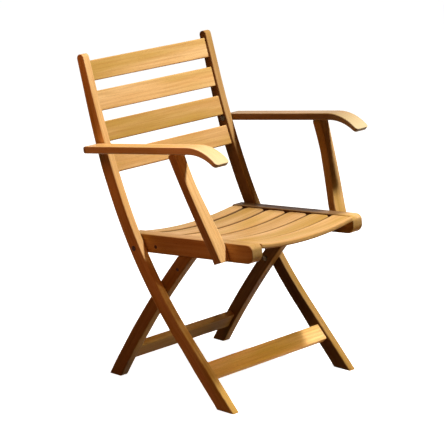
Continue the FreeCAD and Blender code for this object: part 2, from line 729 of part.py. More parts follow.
def make_arm(side):
    body = new_body(f"arm_{SIDE_NAMES[side]}")
    half = size("arm_thickness") / 2
    curl, radius = size("arm_curl"), size("arm_curl_radius")
    centre = Point(-size("arm_straight"), arm_top - radius)
    tip = Point(-sine(curl), cosine(curl))
    rear = size("arm_behind") - half
    points = [Point(rear, arm_underside), Point(rear + half, arm_underside + half),
              Point(rear, arm_top), Point(-size("arm_straight"), arm_top),
              centre + tip * radius, centre + tip * (radius - size("arm_thickness")),
              Point(-size("arm_straight"), arm_underside)]
    bends = {0: (half, 1), 1: (half, 1), 3: (radius, 1),
             5: (radius - size("arm_thickness"), -1)}
    sketch = new_sketch(body, "outline", "YZ_Plane")
    draw_outline(sketch, points, bends)
    pad(body, sketch, size("arm_width"), middle=True)
    bevel_edges(body, size("arm_bevel"), lambda edge: edge.BoundBox.XLength < 1e-4
                and edge.Length > size("arm_width").value)

    # Waste outside the plan's rounded corners
    reach = size("arm_straight") + radius * sine(curl)
    corners = new_sketch(body, "plan_corners", "XY_Plane")
    for inwards in (1, -1):
        x = size("arm_width") / 2 * -inwards
        corner = size("arm_rear_corner")
        end = size("arm_behind")
        draw_outline(corners, [Point(x, end - corner), Point(x, end + 1),
                               Point(x + corner * inwards, end + 1),
                               Point(x + corner * inwards, end)], {3: (corner, inwards)})
        corner = size("arm_front_corner")
        draw_outline(corners, [Point(x, corner - reach), Point(x, -reach - 1),
                               Point(x + corner * inwards, -reach - 1),
                               Point(x + corner * inwards, -reach)], {3: (corner, -inwards)})
    pocket(body, corners, radius * 2, middle=True)

    bolt = new_sketch(body, "bolt_hole", "YZ_Plane", size("arm_width") / 2 * -side)
    draw_circle(bolt, Point(0, 0), bolt_hole)
    depth = size("arm_bolt_reach") + size("bolt_end_play")
    pocket(body, bolt, depth, reverse=side > 0)
    seat = new_sketch(body, "plate_seat", "XY_Plane", arm_underside)
    draw_outline(seat, box_corners(Point(plate_middle(side) - arm_middle * side,
                                         arm_point(arm_top_hinge).across),
                                   size("hinge_plate_width") / 2 + size("tenon_play"),
                                   size("hinge_plate_length") / 2 + size("tenon_play")))
    pocket(body, seat, size("hinge_plate_thickness"), reverse=True)
    place_in_arm(body, arm_middle * side, Point(0, 0))
    return body


def plate_middle(side):
    """X of the steel tang, in the middle of the arm post's top."""
    return (arm_outer - size("arm_post_top_width") / 2) * side


def make_arm_hinge(side):
    """A steel plate let into the arm's underside, with a tang for the pin."""
    body = new_body(f"arm_hinge_{SIDE_NAMES[side]}")
    inset, radius = size("arm_hinge_inset"), size("tang_radius")
    flat = new_sketch(body, "plate", "XY_Plane", inset)
    draw_outline(flat, box_corners(Point(0, 0), size("hinge_plate_width") / 2,
                                   size("hinge_plate_length") / 2))
    pad(body, flat, size("hinge_plate_thickness"))
    tang = new_sketch(body, "tang", "YZ_Plane")
    up = inset + size("hinge_plate_thickness") / 2
    corner = radius * cosine(plain(45))
    draw_outline(tang, [Point(-radius, up), Point(-radius, 0), Point(-corner, -corner),
                        Point(0, -radius), Point(corner, -corner), Point(radius, 0),
                        Point(radius, up)])
    pad(body, tang, size("tang_thickness"), middle=True)
    eye = new_sketch(body, "eye", "YZ_Plane")
    draw_circle(eye, Point(0, 0), size("hinge_pin_radius") + size("bolt_play"))
    pocket(body, eye, size("tang_thickness") * 2, middle=True)
    place_in_arm(body, plate_middle(side), arm_point(arm_top_hinge))
    return body


# The arm post stands along the line between its two hinges

post_rise = arm_top_hinge - arm_post_hinge
arm_post_lean = arc_tangent(post_rise.across / post_rise.up)
arm_post_length = root(post_rise.across * post_rise.across + post_rise.up * post_rise.up)


def make_arm_post(side):
    """Splayed outwards: flat against the rail below, under the arm's outer half on top."""
    body = new_body(f"arm_post_{SIDE_NAMES[side]}")
    inset, depth = size("arm_hinge_inset"), size("arm_post_depth")
    bottom = -size("arm_post_foot")
    top = arm_post_length + depth
    knee = size("arm_post_knee")
    low_outer = arm_post_inner + size("arm_post_bottom_width")
    high_inner = arm_outer - size("arm_post_top_width")
    # Slopes of the two long edges, from the lower end to the upper hinge
    inner_slope = (high_inner - arm_post_inner) / (arm_post_length - knee)
    outer_slope = (arm_outer - low_outer) / (arm_post_length + inset - bottom)
    points = [Point(arm_post_inner * side, bottom), Point(low_outer * side, bottom),
              Point((arm_outer + outer_slope * (depth - inset)) * side, top),
              Point((high_inner + inner_slope * depth) * side, top),
              Point(arm_post_inner * side, knee)]
    front = new_sketch(body, "front_view", "XZ_Plane", -inset)
    draw_outline(front, points)
    pad(body, front, depth)

    # The top is cut parallel to the arm and rounded about the upper hinge.
    tilt = arm_post_lean - size("arm_slope")
    cap = inset - size("arm_post_play")
    upper = Point(0, arm_post_length)
    centre = upper + Point(size("arm_post_play"), 0)
    normal = Point(-sine(tilt), cosine(tilt))
    peak = centre + normal * cap
    clear = depth * 2
    low_end = peak - Point(normal.up, -normal.across) * clear
    cut = new_sketch(body, "top_cut", "YZ_Plane")
    draw_outline(cut, [centre + Point(cap, 0), peak, low_end, low_end + Point(0, clear * 2),
                       centre + Point(cap + clear, clear * 2),
                       centre + Point(cap + clear, 0)], {0: (cap, 1)})
    pocket(body, cut, arm_outer * 2 + clear, middle=True)
    bevel_edges(body, size("edge_bevel"), lambda edge: edge.BoundBox.ZLength > knee.value)
    slot = new_sketch(body, "tang_slot", "XZ_Plane", -inset - 1)
    middle = plate_middle(side)
    half = size("tang_thickness") / 2 + size("tang_play")
    deep = size("tang_radius") + size("tang_play") * 2
    draw_outline(slot, box_corners(Point(middle, upper.up - deep + depth), half, depth))
    pocket(body, slot, depth + 2, reverse=True)
    pin_hole = new_sketch(body, "pin_hole", "YZ_Plane", middle)
    draw_circle(pin_hole, upper, size("hinge_pin_radius"))
    reach = size("arm_post_top_width") - size("hinge_pin_cover") * 2
    pocket(body, pin_hole, reach, middle=True)
    bolt = new_sketch(body, "bolt_hole", "YZ_Plane", arm_post_inner * side)
    draw_circle(bolt, Point(0, 0), bolt_hole)
    pocket(body, bolt, size("arm_post_bolt_reach") + size("bolt_end_play"),
           reverse=side > 0)
    place(body, plain(0), arm_post_hinge, arm_post_lean)
    return body


# Hardware on axes across the chair, one node for each kind

def make_rod(name, side, start, finish, radius, corners=0):
    """A rod along X from start to finish on one side, round or with this many corners."""
    rod = doc.addObject("Part::Prism" if corners else "Part::Cylinder", name)
    if corners:
        rod.Polygon = corners
    across = "Circumradius" if corners else "Radius"
    setattr(rod, across, radius.value)
    rod.setExpression(across, radius.text)
    length = finish - start
    rod.Height = length.value
    rod.setExpression("Height", length.text)
    near = start if side > 0 else -finish
    rod.Placement = Placement(Vector(near.value, 0, 0), Rotation(Vector(0, 1, 0), 90))
    rod.setExpression("Placement.Base.x", near.text)
    return rod


def join_pair(name, pieces, place_point):
    """The left and the right piece of a kind as one node on its axis."""
    group = doc.addObject("Part::Compound", name)
    group.Label = name
    group.Links = pieces
    place(group, plain(0), place_point)
    doc.recompute()
    return group


def make_turned_pair(name, steps, place_point):
    """A left and a right solid about an axis along X.

    Each step is where it starts and ends, from the middle of the chair outwards, its
    radius, and the number of its corners if it isn't round.
    """
    pieces = []
    for side in (LEFT, RIGHT):
        rods = [make_rod(f"{name}_{SIDE_NAMES[side]}_{index}", side, *step)
                for index, step in enumerate(steps)]
        whole = rods[0]
        for extra in rods[1:]:
            fused = doc.addObject("Part::Fuse", f"{extra.Name}_joined")
            fused.Base = whole
            fused.Tool = extra
            whole = fused
        pieces.append(whole)
    return join_pair(name, pieces, place_point)


def make_bolts(name, nut_face, finish, place_point, head=()):
    """Hinge bolts whose nuts lie against the innermost piece."""
    nut = (nut_face - size("nut_height"), nut_face, size("nut_radius"), NUT_SIDES)
    shank = (nut_face, finish, size("bolt_radius"))
    return make_turned_pair(name, [nut, shank, *head], place_point)


def make_washers(name, inner, outer, place_point):
    """Two flat rings, one each side, between hinged pieces."""
    pieces = []
    play = size("washer_play")
    # The corners of the hole stand clear of the bolt, and so do the middles of its sides.
    hole = bolt_hole / cosine(plain(180 / WASHER_SIDES))
    for side in (LEFT, RIGHT):
        ring = doc.addObject("Part::Cut", f"{name}_{SIDE_NAMES[side]}")
        ring.Base = make_rod(f"{ring.Name}_disc", side, inner + play, outer - play,
                             size("washer_radius"), WASHER_SIDES)
        ring.Tool = make_rod(f"{ring.Name}_hole", side, inner + play, outer - play, hole,
                             WASHER_SIDES)
        pieces.append(ring)
    return join_pair(name, pieces, place_point)


nodes = []
for side in (LEFT, RIGHT):
    nodes.append(make_post(side))
    nodes.append(make_rear_leg(side))
    nodes.append(make_seat_rail(side))
    nodes.append(make_arm(side))
    nodes.append(make_arm_hinge(side))
    nodes.append(make_arm_post(side))

for number in range(BACK_SLATS):
    face, lean = back_slat_seat(number)
    nodes.append(make_cross_slat(f"back_slat_{number + 1}", face, lean,
                                 size("back_slat_height"), size("back_slat_depth"),
                                 post_inner))
nodes.append(make_cross_slat("front_stretcher", front_stretcher_seat, size("foot_lean"),
                             size("stretcher_height"), size("stretcher_depth"), post_inner))
nodes.append(make_cross_slat("rear_stretcher",
                             leg_line(size("rear_stretcher_arc"),
                                      -size("stretcher_depth") / 2),
                             size("rear_stretcher_arc") - size("leg_lean"),
                             size("stretcher_height"), size("stretcher_depth"), leg_inner))
for number in range(SEAT_SLATS):
    nodes.append(make_seat_slat(number))
nodes.append(make_bearer())

sink_floor = post_outer - size("sink_depth")
plug_floor = sink_floor + size("bolt_head")
nodes.append(make_bolts("seat_bolts", rail_inner, sink_floor, seat_hinge,
                        [(sink_floor, plug_floor, size("bolt_head_radius"), NUT_SIDES)]))
nodes.append(make_bolts("leg_bolts", leg_inner, post_inner + size("leg_bolt_reach"),
                        leg_hinge))
nodes.append(make_bolts("arm_bolts", post_inner, arm_inner + size("arm_bolt_reach"),
                        arm_hinge))
nodes.append(make_bolts("arm_post_bolts", rail_inner,
                        arm_post_inner + size("arm_post_bolt_reach"), arm_post_hinge))
nodes.append(make_turned_pair("post_plugs", [(plug_floor, post_outer, size("sink_radius"))],
                              seat_hinge))
bearer_end = seat_to_chair(Point(-size("bearer_front"), size("bearer_plug_height")))
nodes.append(make_turned_pair("bearer_plugs", [
    (rail_outer - size("bearer_plug"), rail_outer, size("bearer_plug_radius"))], bearer_end))
nodes.append(make_turned_pair("leg_top_pins", [
    (leg_inner, leg_outer, size("leg_pin_radius"))],
    Point(-size("leg_pin_front"), size("leg_pin_height"))))
nodes.append(make_washers("seat_washers", rail_outer, post_inner, seat_hinge))
nodes.append(make_washers("leg_washers", leg_outer, post_inner, leg_hinge))
nodes.append(make_washers("arm_washers", post_outer, arm_inner, arm_hinge))
nodes.append(make_washers("arm_post_washers", rail_outer, arm_post_inner, arm_post_hinge))

for side in (LEFT, RIGHT):
    name = f"arm_hinge_pin_{SIDE_NAMES[side]}"
    half = size("arm_post_top_width") / 2 - size("hinge_pin_cover")
    middle = plate_middle(LEFT)
    pin = make_rod(name, side, middle - half, middle + half, size("hinge_pin_radius"))
    pin.Label = name
    pin.Placement.Base = Vector(pin.Placement.Base.x, arm_top_hinge.across.value,
                                arm_top_hinge.up.value)
    pin.setExpression("Placement.Base.y", arm_top_hinge.across.text)
    pin.setExpression("Placement.Base.z", arm_top_hinge.up.text)
    nodes.append(pin)

doc.recompute()
for item in doc.Objects:
    if "Invalid" in item.State or "Error" in item.State:
        raise RuntimeError(f"{item.Label} failed: {item.State}")
for node in nodes:
    if node.Shape.isNull() or not node.Shape.isValid():
        raise RuntimeError(f"{node.Label} has a bad shape")

os.makedirs("parts", exist_ok=True)
for node in nodes:
    node.Shape.exportStep(f"parts/{node.Label}.step")
    box = node.Shape.BoundBox
    print(f"{node.Label}: {len(node.Shape.Solids)} solids, {node.Shape.Volume / 1000:.1f} cm3,",
          f"x {box.XMin:.1f}..{box.XMax:.1f}, y {box.YMin:.1f}..{box.YMax:.1f},",
          f"z {box.ZMin:.1f}..{box.ZMax:.1f}")
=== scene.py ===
# %% [markdown]
# # A folding teak armchair
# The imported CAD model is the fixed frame: metres, +Z up, the chair looks along -Y and the
# sitter's left is +X. Every piece of wood is rebuilt here as a smooth surface with eased
# edges, in the place that the CAD piece has, and rides on the same body. A bevel modifier
# could ease the CAD pieces too, but a surface worked out row by row also gets the soft tapers
# and curls of hand-shaped wood, and it knows where the grain runs.

# %% Load the frame
import math

import bmesh
import bpy
import numpy as np
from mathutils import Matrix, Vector
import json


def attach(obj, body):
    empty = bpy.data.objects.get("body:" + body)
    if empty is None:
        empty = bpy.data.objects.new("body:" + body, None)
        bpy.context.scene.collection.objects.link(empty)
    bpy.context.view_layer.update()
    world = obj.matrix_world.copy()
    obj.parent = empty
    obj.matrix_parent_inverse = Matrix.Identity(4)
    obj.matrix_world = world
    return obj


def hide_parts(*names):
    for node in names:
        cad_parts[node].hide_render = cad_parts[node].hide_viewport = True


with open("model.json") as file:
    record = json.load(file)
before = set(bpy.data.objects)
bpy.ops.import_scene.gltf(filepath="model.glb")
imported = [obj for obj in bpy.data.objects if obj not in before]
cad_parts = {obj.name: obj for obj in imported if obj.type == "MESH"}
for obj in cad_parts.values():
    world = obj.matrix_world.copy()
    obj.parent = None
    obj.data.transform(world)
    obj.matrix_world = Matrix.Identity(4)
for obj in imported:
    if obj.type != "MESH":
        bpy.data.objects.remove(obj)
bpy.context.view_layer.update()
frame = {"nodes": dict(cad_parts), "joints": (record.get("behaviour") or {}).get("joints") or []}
scene = bpy.context.scene

# %% [markdown]
# ## The chair's lines, seen from the side
# A real chair starts as a full-size side view: five hinges, and the front edge of the curved
# post. Millimetres are easier to read than metres, so the shapes are worked out in
# millimetres and turned into metres when a mesh is made.

# %% Hinges and widths
MM = 0.001
joints = {joint["name"]: np.array(joint["pos_m"]) / MM for joint in frame["joints"]}
SEAT_HINGE = joints["seat_fold"][1:]
LEG_HINGE = joints["rear_leg_fold"][1:]
ARM_HINGE = joints["arm_left_fold"][1:]
ARM_POST_HINGE = joints["arm_post_left_swing"][1:]
ARM_TOP_HINGE = ARM_HINGE + ARM_POST_HINGE - SEAT_HINGE

POST_INNER, POST_OUTER = 228.0, 252.0
LEG_INNER, LEG_OUTER = 195.0, 223.0
RAIL_INNER, RAIL_OUTER = 184.0, 223.0
ARM_INNER, ARM_OUTER = 253.0, 307.0
SIDES = {"left": 1, "right": -1}
print("hinges", SEAT_HINGE, LEG_HINGE, ARM_HINGE, ARM_POST_HINGE, ARM_TOP_HINGE)

# %% [markdown]
# The post's front edge is a straight foot, two bends that run into one another, and a
# straight top. Its lean from the vertical falls from 44 degrees at the floor to 18 degrees at
# the top, and each bend's radius says how fast. The front edge goes on a little above the
# chair's height, because the rounded tip is cut across the lean.

# %% The curved line of the back post
FOOT_LEAN, SEAT_LEAN, BACK_LEAN = np.radians((44.1, 25.5, 18.1))
FOOT_RUN, KNEE_RADIUS, BACK_RADIUS = 245.4, 1196.0, 2384.0
CHAIR_HEIGHT = 880.0
TIP_RISE = 2.7


def up_along(lean):
    """Direction up a piece that leans back: across = sin(lean), up = cos(lean)."""
    return np.stack([np.sin(lean), np.cos(lean)], -1)


def to_back(lean):
    """Direction from a leaning piece's front edge to its back edge."""
    return np.stack([np.cos(lean), -np.sin(lean)], -1)


FOOT = np.array([-261.6, 0.0])
RUN_END = FOOT + up_along(FOOT_LEAN) * FOOT_RUN
KNEE_CENTRE = RUN_END - to_back(FOOT_LEAN) * KNEE_RADIUS
BEND_END = KNEE_CENTRE + to_back(SEAT_LEAN) * KNEE_RADIUS
BACK_CENTRE = BEND_END - to_back(SEAT_LEAN) * BACK_RADIUS
BACK_START = BACK_CENTRE + to_back(BACK_LEAN) * BACK_RADIUS
KNEE_RUN = KNEE_RADIUS * (FOOT_LEAN - SEAT_LEAN)
BACK_RUN = BACK_RADIUS * (SEAT_LEAN - BACK_LEAN)


def post_front(s):
    """Point and lean of the post's front edge, s millimetres up from the foot.

    The foot is straight, then lean = foot lean - distance / knee radius, then the same with
    the back radius, and the top is straight again.
    """
    s = np.asarray(s, float)
    knee = np.clip(s - FOOT_RUN, 0, KNEE_RUN)
    back = np.clip(s - FOOT_RUN - KNEE_RUN, 0, BACK_RUN)
    top = np.maximum(s - FOOT_RUN - KNEE_RUN - BACK_RUN, 0)
    lean = FOOT_LEAN - knee / KNEE_RADIUS - back / BACK_RADIUS
    point = np.where((s < FOOT_RUN)[..., None], FOOT + up_along(FOOT_LEAN) * s[..., None],
                     KNEE_CENTRE + to_back(FOOT_LEAN - knee / KNEE_RADIUS) * KNEE_RADIUS)
    on_back = BACK_CENTRE + to_back(lean) * BACK_RADIUS + up_along(BACK_LEAN) * top[..., None]
    return np.where((s > FOOT_RUN + KNEE_RUN)[..., None], on_back, point), lean


POST_LENGTH = FOOT_RUN + KNEE_RUN + BACK_RUN + (
    CHAIR_HEIGHT + TIP_RISE - BACK_START[1]) / math.cos(BACK_LEAN)
print("post", round(POST_LENGTH, 1), "mm along its front edge")

# %% [markdown]
# ## One surface for every piece of wood
# Each piece is a rounded rectangle carried along a line. The first parameter runs along the
# piece and the second goes round the section. At both ends the section shrinks along a
# quarter circle, which eases the end as sandpaper does.


# %% A rounded section carried along a line
def ring_of(half_side, half_depth, corner, steps=4, hem=0.7):
    """Rounded rectangles, one for each row, as arrays (rows, points, 2).

    Each corner is a quarter circle: middle + corner * (cos a, sin a). Two more points a
    little way along each flat keep the flats flat when the surface is shaded smoothly.
    """
    angles = np.linspace(0, np.pi / 2, steps + 1)
    half_side, half_depth, corner = (np.asarray(v, float)[:, None]
                                     for v in (half_side, half_depth, corner))
    hem_side = np.minimum(hem, (half_side - corner) * 0.9)
    hem_depth = np.minimum(hem, (half_depth - corner) * 0.9)
    quarter_x = half_side - corner + corner * np.cos(angles)
    quarter_y = half_depth - corner + corner * np.sin(angles)
    first = np.stack([half_side + 0 * corner, half_depth - corner - hem_depth], -1)
    last = np.stack([half_side - corner - hem_side, half_depth + 0 * corner], -1)
    quarter = np.concatenate([first, np.stack([quarter_x, quarter_y], -1), last], 1)
    mirrored = quarter[:, ::-1] * (-1, 1)
    return np.concatenate([quarter, mirrored, quarter * (-1, -1), mirrored * (-1, -1)], 1)


def end_rows(length, ease, inner, steps=4):
    """Stations along a piece, and how far the section has shrunk at each.

    At an end the station is ease * (1 - cos a) and the section shrinks by
    ease * (1 - sin a), for a from 0 to a right angle.
    """
    angles = np.linspace(0, np.pi / 2, steps + 1)
    near = ease * (1 - np.cos(angles))
    shrink = ease * (1 - np.sin(angles))
    inner = np.asarray(inner, float)
    inner = inner[(inner > ease * 1.5) & (inner < length - ease * 1.5)]
    stations = np.concatenate([near, inner, length - near[::-1]])
    return stations, np.concatenate([shrink, 0 * inner, shrink[::-1]])


print("a section has", ring_of([10], [10], [3]).shape[1], "points")

# %% [markdown]
# A grid of points becomes a mesh when its rows are joined by quads and its ends are closed.
# The faces of a grid can come out turned inwards, and the sign of the volume tells. Every
# vertex also remembers where it lies in its own board, because wood grain follows the board
# and not the chair. It keeps how worn it is, its painted shade and painted highlight, and how
# light its board is, for the material to read.


# %% From points to a piece
def signed_volume(mesh):
    """Sum over the triangles of a . (b x c) / 6, which is positive if faces point outwards."""
    shell = bmesh.new()
    shell.from_mesh(mesh)
    volume = shell.calc_volume(signed=True)
    shell.free()
    return volume


def mesh_of(name, points, faces):
    """A smooth mesh from points in millimetres, its faces turned outwards."""
    mesh = bpy.data.meshes.new(name)
    mesh.from_pydata((np.reshape(points, (-1, 3)) * MM).tolist(), [], faces)
    mesh.polygons.foreach_set("use_smooth", np.ones(len(mesh.polygons), bool))
    if signed_volume(mesh) < 0:
        mesh.flip_normals()
    return mesh


def between_rows(rows, points):
    """The quads between the rows of a closed grid, and one flat face at each end."""
    here = np.arange(rows * points).reshape(rows, points)
    right = np.roll(here, -1, 1)
    quads = np.stack([here[:-1], right[:-1], right[1:], here[1:]], -1).reshape(-1, 4)
    return quads.tolist() + [here[0, ::-1].tolist(), here[-1].tolist()]


def closed_surface(name, grid, grain, values):
    """A mesh between the rows of grid, whose points keep their grain and other values."""
    rows, points = grid.shape[:2]
    mesh = mesh_of(name, grid, between_rows(rows, points))
    layer = mesh.attributes.new("grain", "FLOAT_VECTOR", "POINT")
    layer.data.foreach_set("vector", np.ravel(grain * MM).astype(np.float32))
    for label, value in values.items():
        layer = mesh.attributes.new(label, "FLOAT", "POINT")
        spread_out = np.ravel(np.broadcast_to(value, (rows, points)))
        layer.data.foreach_set("value", spread_out.astype(np.float32))
    for cap in list(mesh.polygons)[-2:]:
        cap.use_smooth = False
    mesh.update()
    return mesh


def new_piece(mesh, body, node):
    """An object of this mesh that rides on a body, in the place of a CAD node."""
    piece = bpy.data.objects.new(mesh.name, mesh)
    scene.collection.objects.link(piece)
    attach(piece, body)
    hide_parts(node)
    return piece


print("a grid of 2 rows by 4 points has", len(between_rows(2, 4)), "faces")

# %% [markdown]
# No two boards have the same colour. The photograph shows which are pale and which are dark,
# so those have a listed tone: 0 is dark red-brown, 1 is pale gold, and the few above 1 are
# paler still. These listed tones also paint light and shade: a board is made paler or darker
# by how lit it is. The other boards take a tone by their number. Painted shade darkens the
# faces that look inwards, the walls in the gaps of the seat, and the tops of the rails.

# %% How light each board is
# Listed tones: partly the board's own tone, partly painted light and shade on it.
TONES_WITH_PAINTED_LIGHT = {"post_left": 0.30, "post_right": 1.05, "rear_leg_left": 0.42, "rear_leg_right": 0.20,
         "rear_stretcher": 0.46, "front_stretcher": 1.40, "arm_left": 0.02, "arm_right": 1.30,
         "arm_post_left": 0.80, "arm_post_right": 1.50}
# How much painted shade darkens the inner faces of each kind of piece.
POST_PAINTED_SHADE, LEG_PAINTED_SHADE, ARM_PAINTED_SHADE, ARM_POST_PAINTED_SHADE = 0.75, 0.45, 0.45, 0.6


def tone_with_painted_light(node, number):
    """The board's listed tone, which also paints light and shade on it, or a share of a range
    that looks random from board to board.
    """
    least = 0.42 if node.startswith("seat_slat") else 0.62
    share = math.sin(12.9898 * (number + 1)) * 43758.5453 % 1.0
    return TONES_WITH_PAINTED_LIGHT.get(node, least + 0.38 * share)


def shade_inside(side_name, inner, outer=0.0, top=0.0):
    """The painted shade of a piece at one side of the chair, by its inner and outer faces."""
    return (inner, outer, top) if side_name == "left" else (outer, inner, top)


print(len(TONES_WITH_PAINTED_LIGHT), "boards have a tone of their own")

# %% [markdown]
# Handling rubs a board's corners and ends, and painted shade lies on whole faces and fades
# round their corners. Both are worked out from how far a point of the section is from its faces.

# %% Wear and painted shade
WEAR_REACH, END_WEAR, SHADE_REACH = 0.8, 0.8, 0.7


def worn(ring, half_side, half_depth, corner, shrink):
    """1 - the distance inwards from a corner over the corner's size, or the end's wear."""
    inwards = np.maximum(half_side[:, None] - np.abs(ring[..., 0]),
                         half_depth[:, None] - np.abs(ring[..., 1]))
    wear = np.clip(1 - inwards / (corner[:, None] + WEAR_REACH), 0, 1)
    return np.maximum(wear, np.clip(shrink, 0, 1)[:, None] * END_WEAR)


def face_shade(ring, half_side, half_depth, corner, painted_shade):
    """A face's painted shade times 1 - the distance from that face over a share of the corner."""
    reach = corner[:, None] * SHADE_REACH
    to_side = np.clip(1 - (half_side[:, None] - np.abs(ring[..., 0])) / reach, 0, 1)
    to_top = np.clip(1 - (half_depth[:, None] - ring[..., 1]) / reach, 0, 1)
    return np.maximum(to_side * np.where(ring[..., 0] < 0, *painted_shade[:2]), to_top * painted_shade[2])


print("wear reaches", WEAR_REACH, "mm past a corner")

# %% [markdown]
# A bar of wood is then one call: the line of its middle, the two directions of its section,
# and the section's half sizes, each of which may change from row to row.

# %% One piece of wood
X_AXIS = np.array([1.0, 0.0, 0.0])
BOARDS = []
LEAST_CORNER = 0.6


def timber(node, body, middle, side, depth, half_side, half_depth, shrink, corner=3.0,
           slant=None, along=None, painted_shade=(0, 0, 0), shaded_rows=0.0, highlight_rows=0.0, name="{}_wood"):
    """One piece of wood as an object, in the place of a CAD node.

    point = middle + side * x + depth * y + along * slant * y, where x and y go round the
    rounded section of that row. slant tilts the rows near an end that is cut at an angle.
    soil paints shade on the faces toward -x, +x and +y. shaded_rows paints shade on whole
    rows, and highlight_rows paints a highlight on them.
    """
    rows = len(middle)
    half_side = np.broadcast_to(half_side, rows) - shrink
    half_depth = np.broadcast_to(half_depth, rows) - shrink
    corner = np.maximum(corner - shrink, LEAST_CORNER)
    corner = np.minimum(corner, np.minimum(half_side, half_depth) * 0.98)
    ring = ring_of(half_side, half_depth, corner)
    if along is None:
        along = np.gradient(middle, axis=0)
        along /= np.linalg.norm(along, axis=1)[:, None]
    along = np.broadcast_to(along, (rows, 3))
    side = np.broadcast_to(side, (rows, 3))
    depth = np.broadcast_to(depth, (rows, 3))
    grid = middle[:, None] + side[:, None] * ring[..., :1] + depth[:, None] * ring[..., 1:]
    if slant is not None:
        grid = grid + along[:, None] * (np.asarray(slant)[:, None] * ring[..., 1])[..., None]
    steps = np.linalg.norm(np.diff(middle, axis=0), axis=1)
    run = np.concatenate([[0], np.cumsum(steps)])
    number = len(BOARDS)
    grain = np.concatenate([np.broadcast_to(run[:, None, None], ring.shape[:2] + (1,)), ring], -1)
    # Every board is cut from another place in the log.
    grain += np.array([900.0 * number, 37.0 * (number % 7) - 90, 53.0 * (number % 5) + 40])
    mesh = closed_surface(name.format(node), grid, grain, {
        "board": tone_with_painted_light(node, number), "end_grain": np.clip(shrink * 1.2, 0, 1)[:, None],
        "wear": worn(ring, half_side, half_depth, corner, shrink),
        # Painted shade on faces and rows, and a painted highlight on rows.
        "painted_shade": np.maximum(face_shade(ring, half_side, half_depth, corner, painted_shade),
                           np.reshape(shaded_rows, (-1, 1))),
        "painted_highlight": np.reshape(highlight_rows, (-1, 1))})
    BOARDS.append(new_piece(mesh, body, node))
    return BOARDS[-1]


def in_side_view(x, points):
    """Points of the side view at x, as (rows, 3)."""
    points = np.asarray(points, float)
    return np.concatenate([np.broadcast_to(np.reshape(x, (-1, 1)), (len(points), 1)), points], 1)


print("points of the side view gain an x:", in_side_view(1, [(2, 3)]).tolist())

# %% [markdown]
# ## The curved back posts
# A post is sawn from a wide board along a template. Its depth is not even: 43 mm at the foot,
# 38 mm along the seat, and it slims to 25 mm at the top, which is rounded over. The foot is
# cut level with the floor, so its rows are slanted.


# %% Back posts
def round_off(distance, radius):
    """How far a quarter circle cuts a face back, at a distance from the end."""
    inside = np.clip(radius - distance, 0, radius)
    return radius - np.sqrt(radius ** 2 - inside ** 2)


END_FADE = 60.0


def slant_near_ends(stations, length, first, last, fade=END_FADE):
    """The slant of each row: the end's own slant at the end, fading to none."""
    near = np.clip(1 - stations / fade, 0, 1)
    far = np.clip(1 - (length - stations) / fade, 0, 1)
    return first * near + last * far


POST_DEPTH_HEIGHTS = (0, 110, 165, 600, 640, 690, 750, 810, 880)
POST_DEPTHS = (43, 41.0, 38, 38, 35.6, 33, 30, 27.4, 25)
TIP_ROUND, FOOT_CLEAR = 11.0, 0.3


def make_post(side_name):
    """A post: its front edge's line, moved back by half of a depth that depends on height."""
    tip_rows = POST_LENGTH - TIP_ROUND * (1 - np.cos(np.linspace(0.1, 1.5, 7)))
    inner = np.concatenate([np.arange(12, POST_LENGTH - 30, 14.0), tip_rows])
    stations, shrink = end_rows(POST_LENGTH, ease=1.6, inner=np.sort(inner))
    front, lean = post_front(stations)
    depth = np.interp(front[:, 1], POST_DEPTH_HEIGHTS, POST_DEPTHS)
    rounding = round_off(POST_LENGTH - stations, TIP_ROUND)
    # A foot cut level: the middle starts where the floor crosses it.
    level = depth[0] / 2 * math.tan(FOOT_LEAN) + FOOT_CLEAR
    lift = level * np.clip(1 - stations / END_FADE, 0, 1)
    middle = front + to_back(lean) * depth[:, None] / 2 + up_along(lean) * lift[:, None]
    slant = slant_near_ends(stations, POST_LENGTH, math.tan(FOOT_LEAN), 0)
    x = (POST_INNER + POST_OUTER) / 2 * SIDES[side_name]
    return timber(f"post_{side_name}", "back_frame", in_side_view(x, middle), X_AXIS,
                  in_side_view(0, to_back(lean)), (POST_OUTER - POST_INNER) / 2,
                  depth / 2 - rounding, shrink, corner=3.2, slant=slant,
                  painted_shade=shade_inside(side_name, POST_PAINTED_SHADE), name="back_{}")


posts = [make_post(name) for name in SIDES]
print("posts", [len(p.data.polygons) for p in posts])

# %% [markdown]
# ## Rear legs
# Each rear leg is a gently bowed bar that leans forward and crosses inside its post. Its
# foot is level, and its top is cut parallel to the seat rail, which rests on it.

# %% Rear legs
LEG_LEAN, LEG_RADIUS, LEG_DEPTH = math.radians(36.5), 2700.0, 37.0
SEAT_SLOPE = math.radians(5.54)
LEG_CENTRE = LEG_HINGE - LEG_RADIUS * to_back(-LEG_LEAN)
RAIL_TOP, RAIL_BOTTOM, LEG_GAP = 35.0, -15.2, 0.5
seat_up = up_along(SEAT_SLOPE)
leg_top_height = seat_up @ SEAT_HINGE + RAIL_BOTTOM - LEG_GAP
FOOT_ANGLE = math.asin(-LEG_CENTRE[1] / LEG_RADIUS)
reach = leg_top_height - seat_up @ LEG_CENTRE
TOP_ANGLE = math.asin(reach / LEG_RADIUS) - SEAT_SLOPE


def leg_middle(angle):
    """Point on the leg's middle line: centre + radius * (cos, sin) of the angle."""
    return LEG_CENTRE + LEG_RADIUS * to_back(-angle)


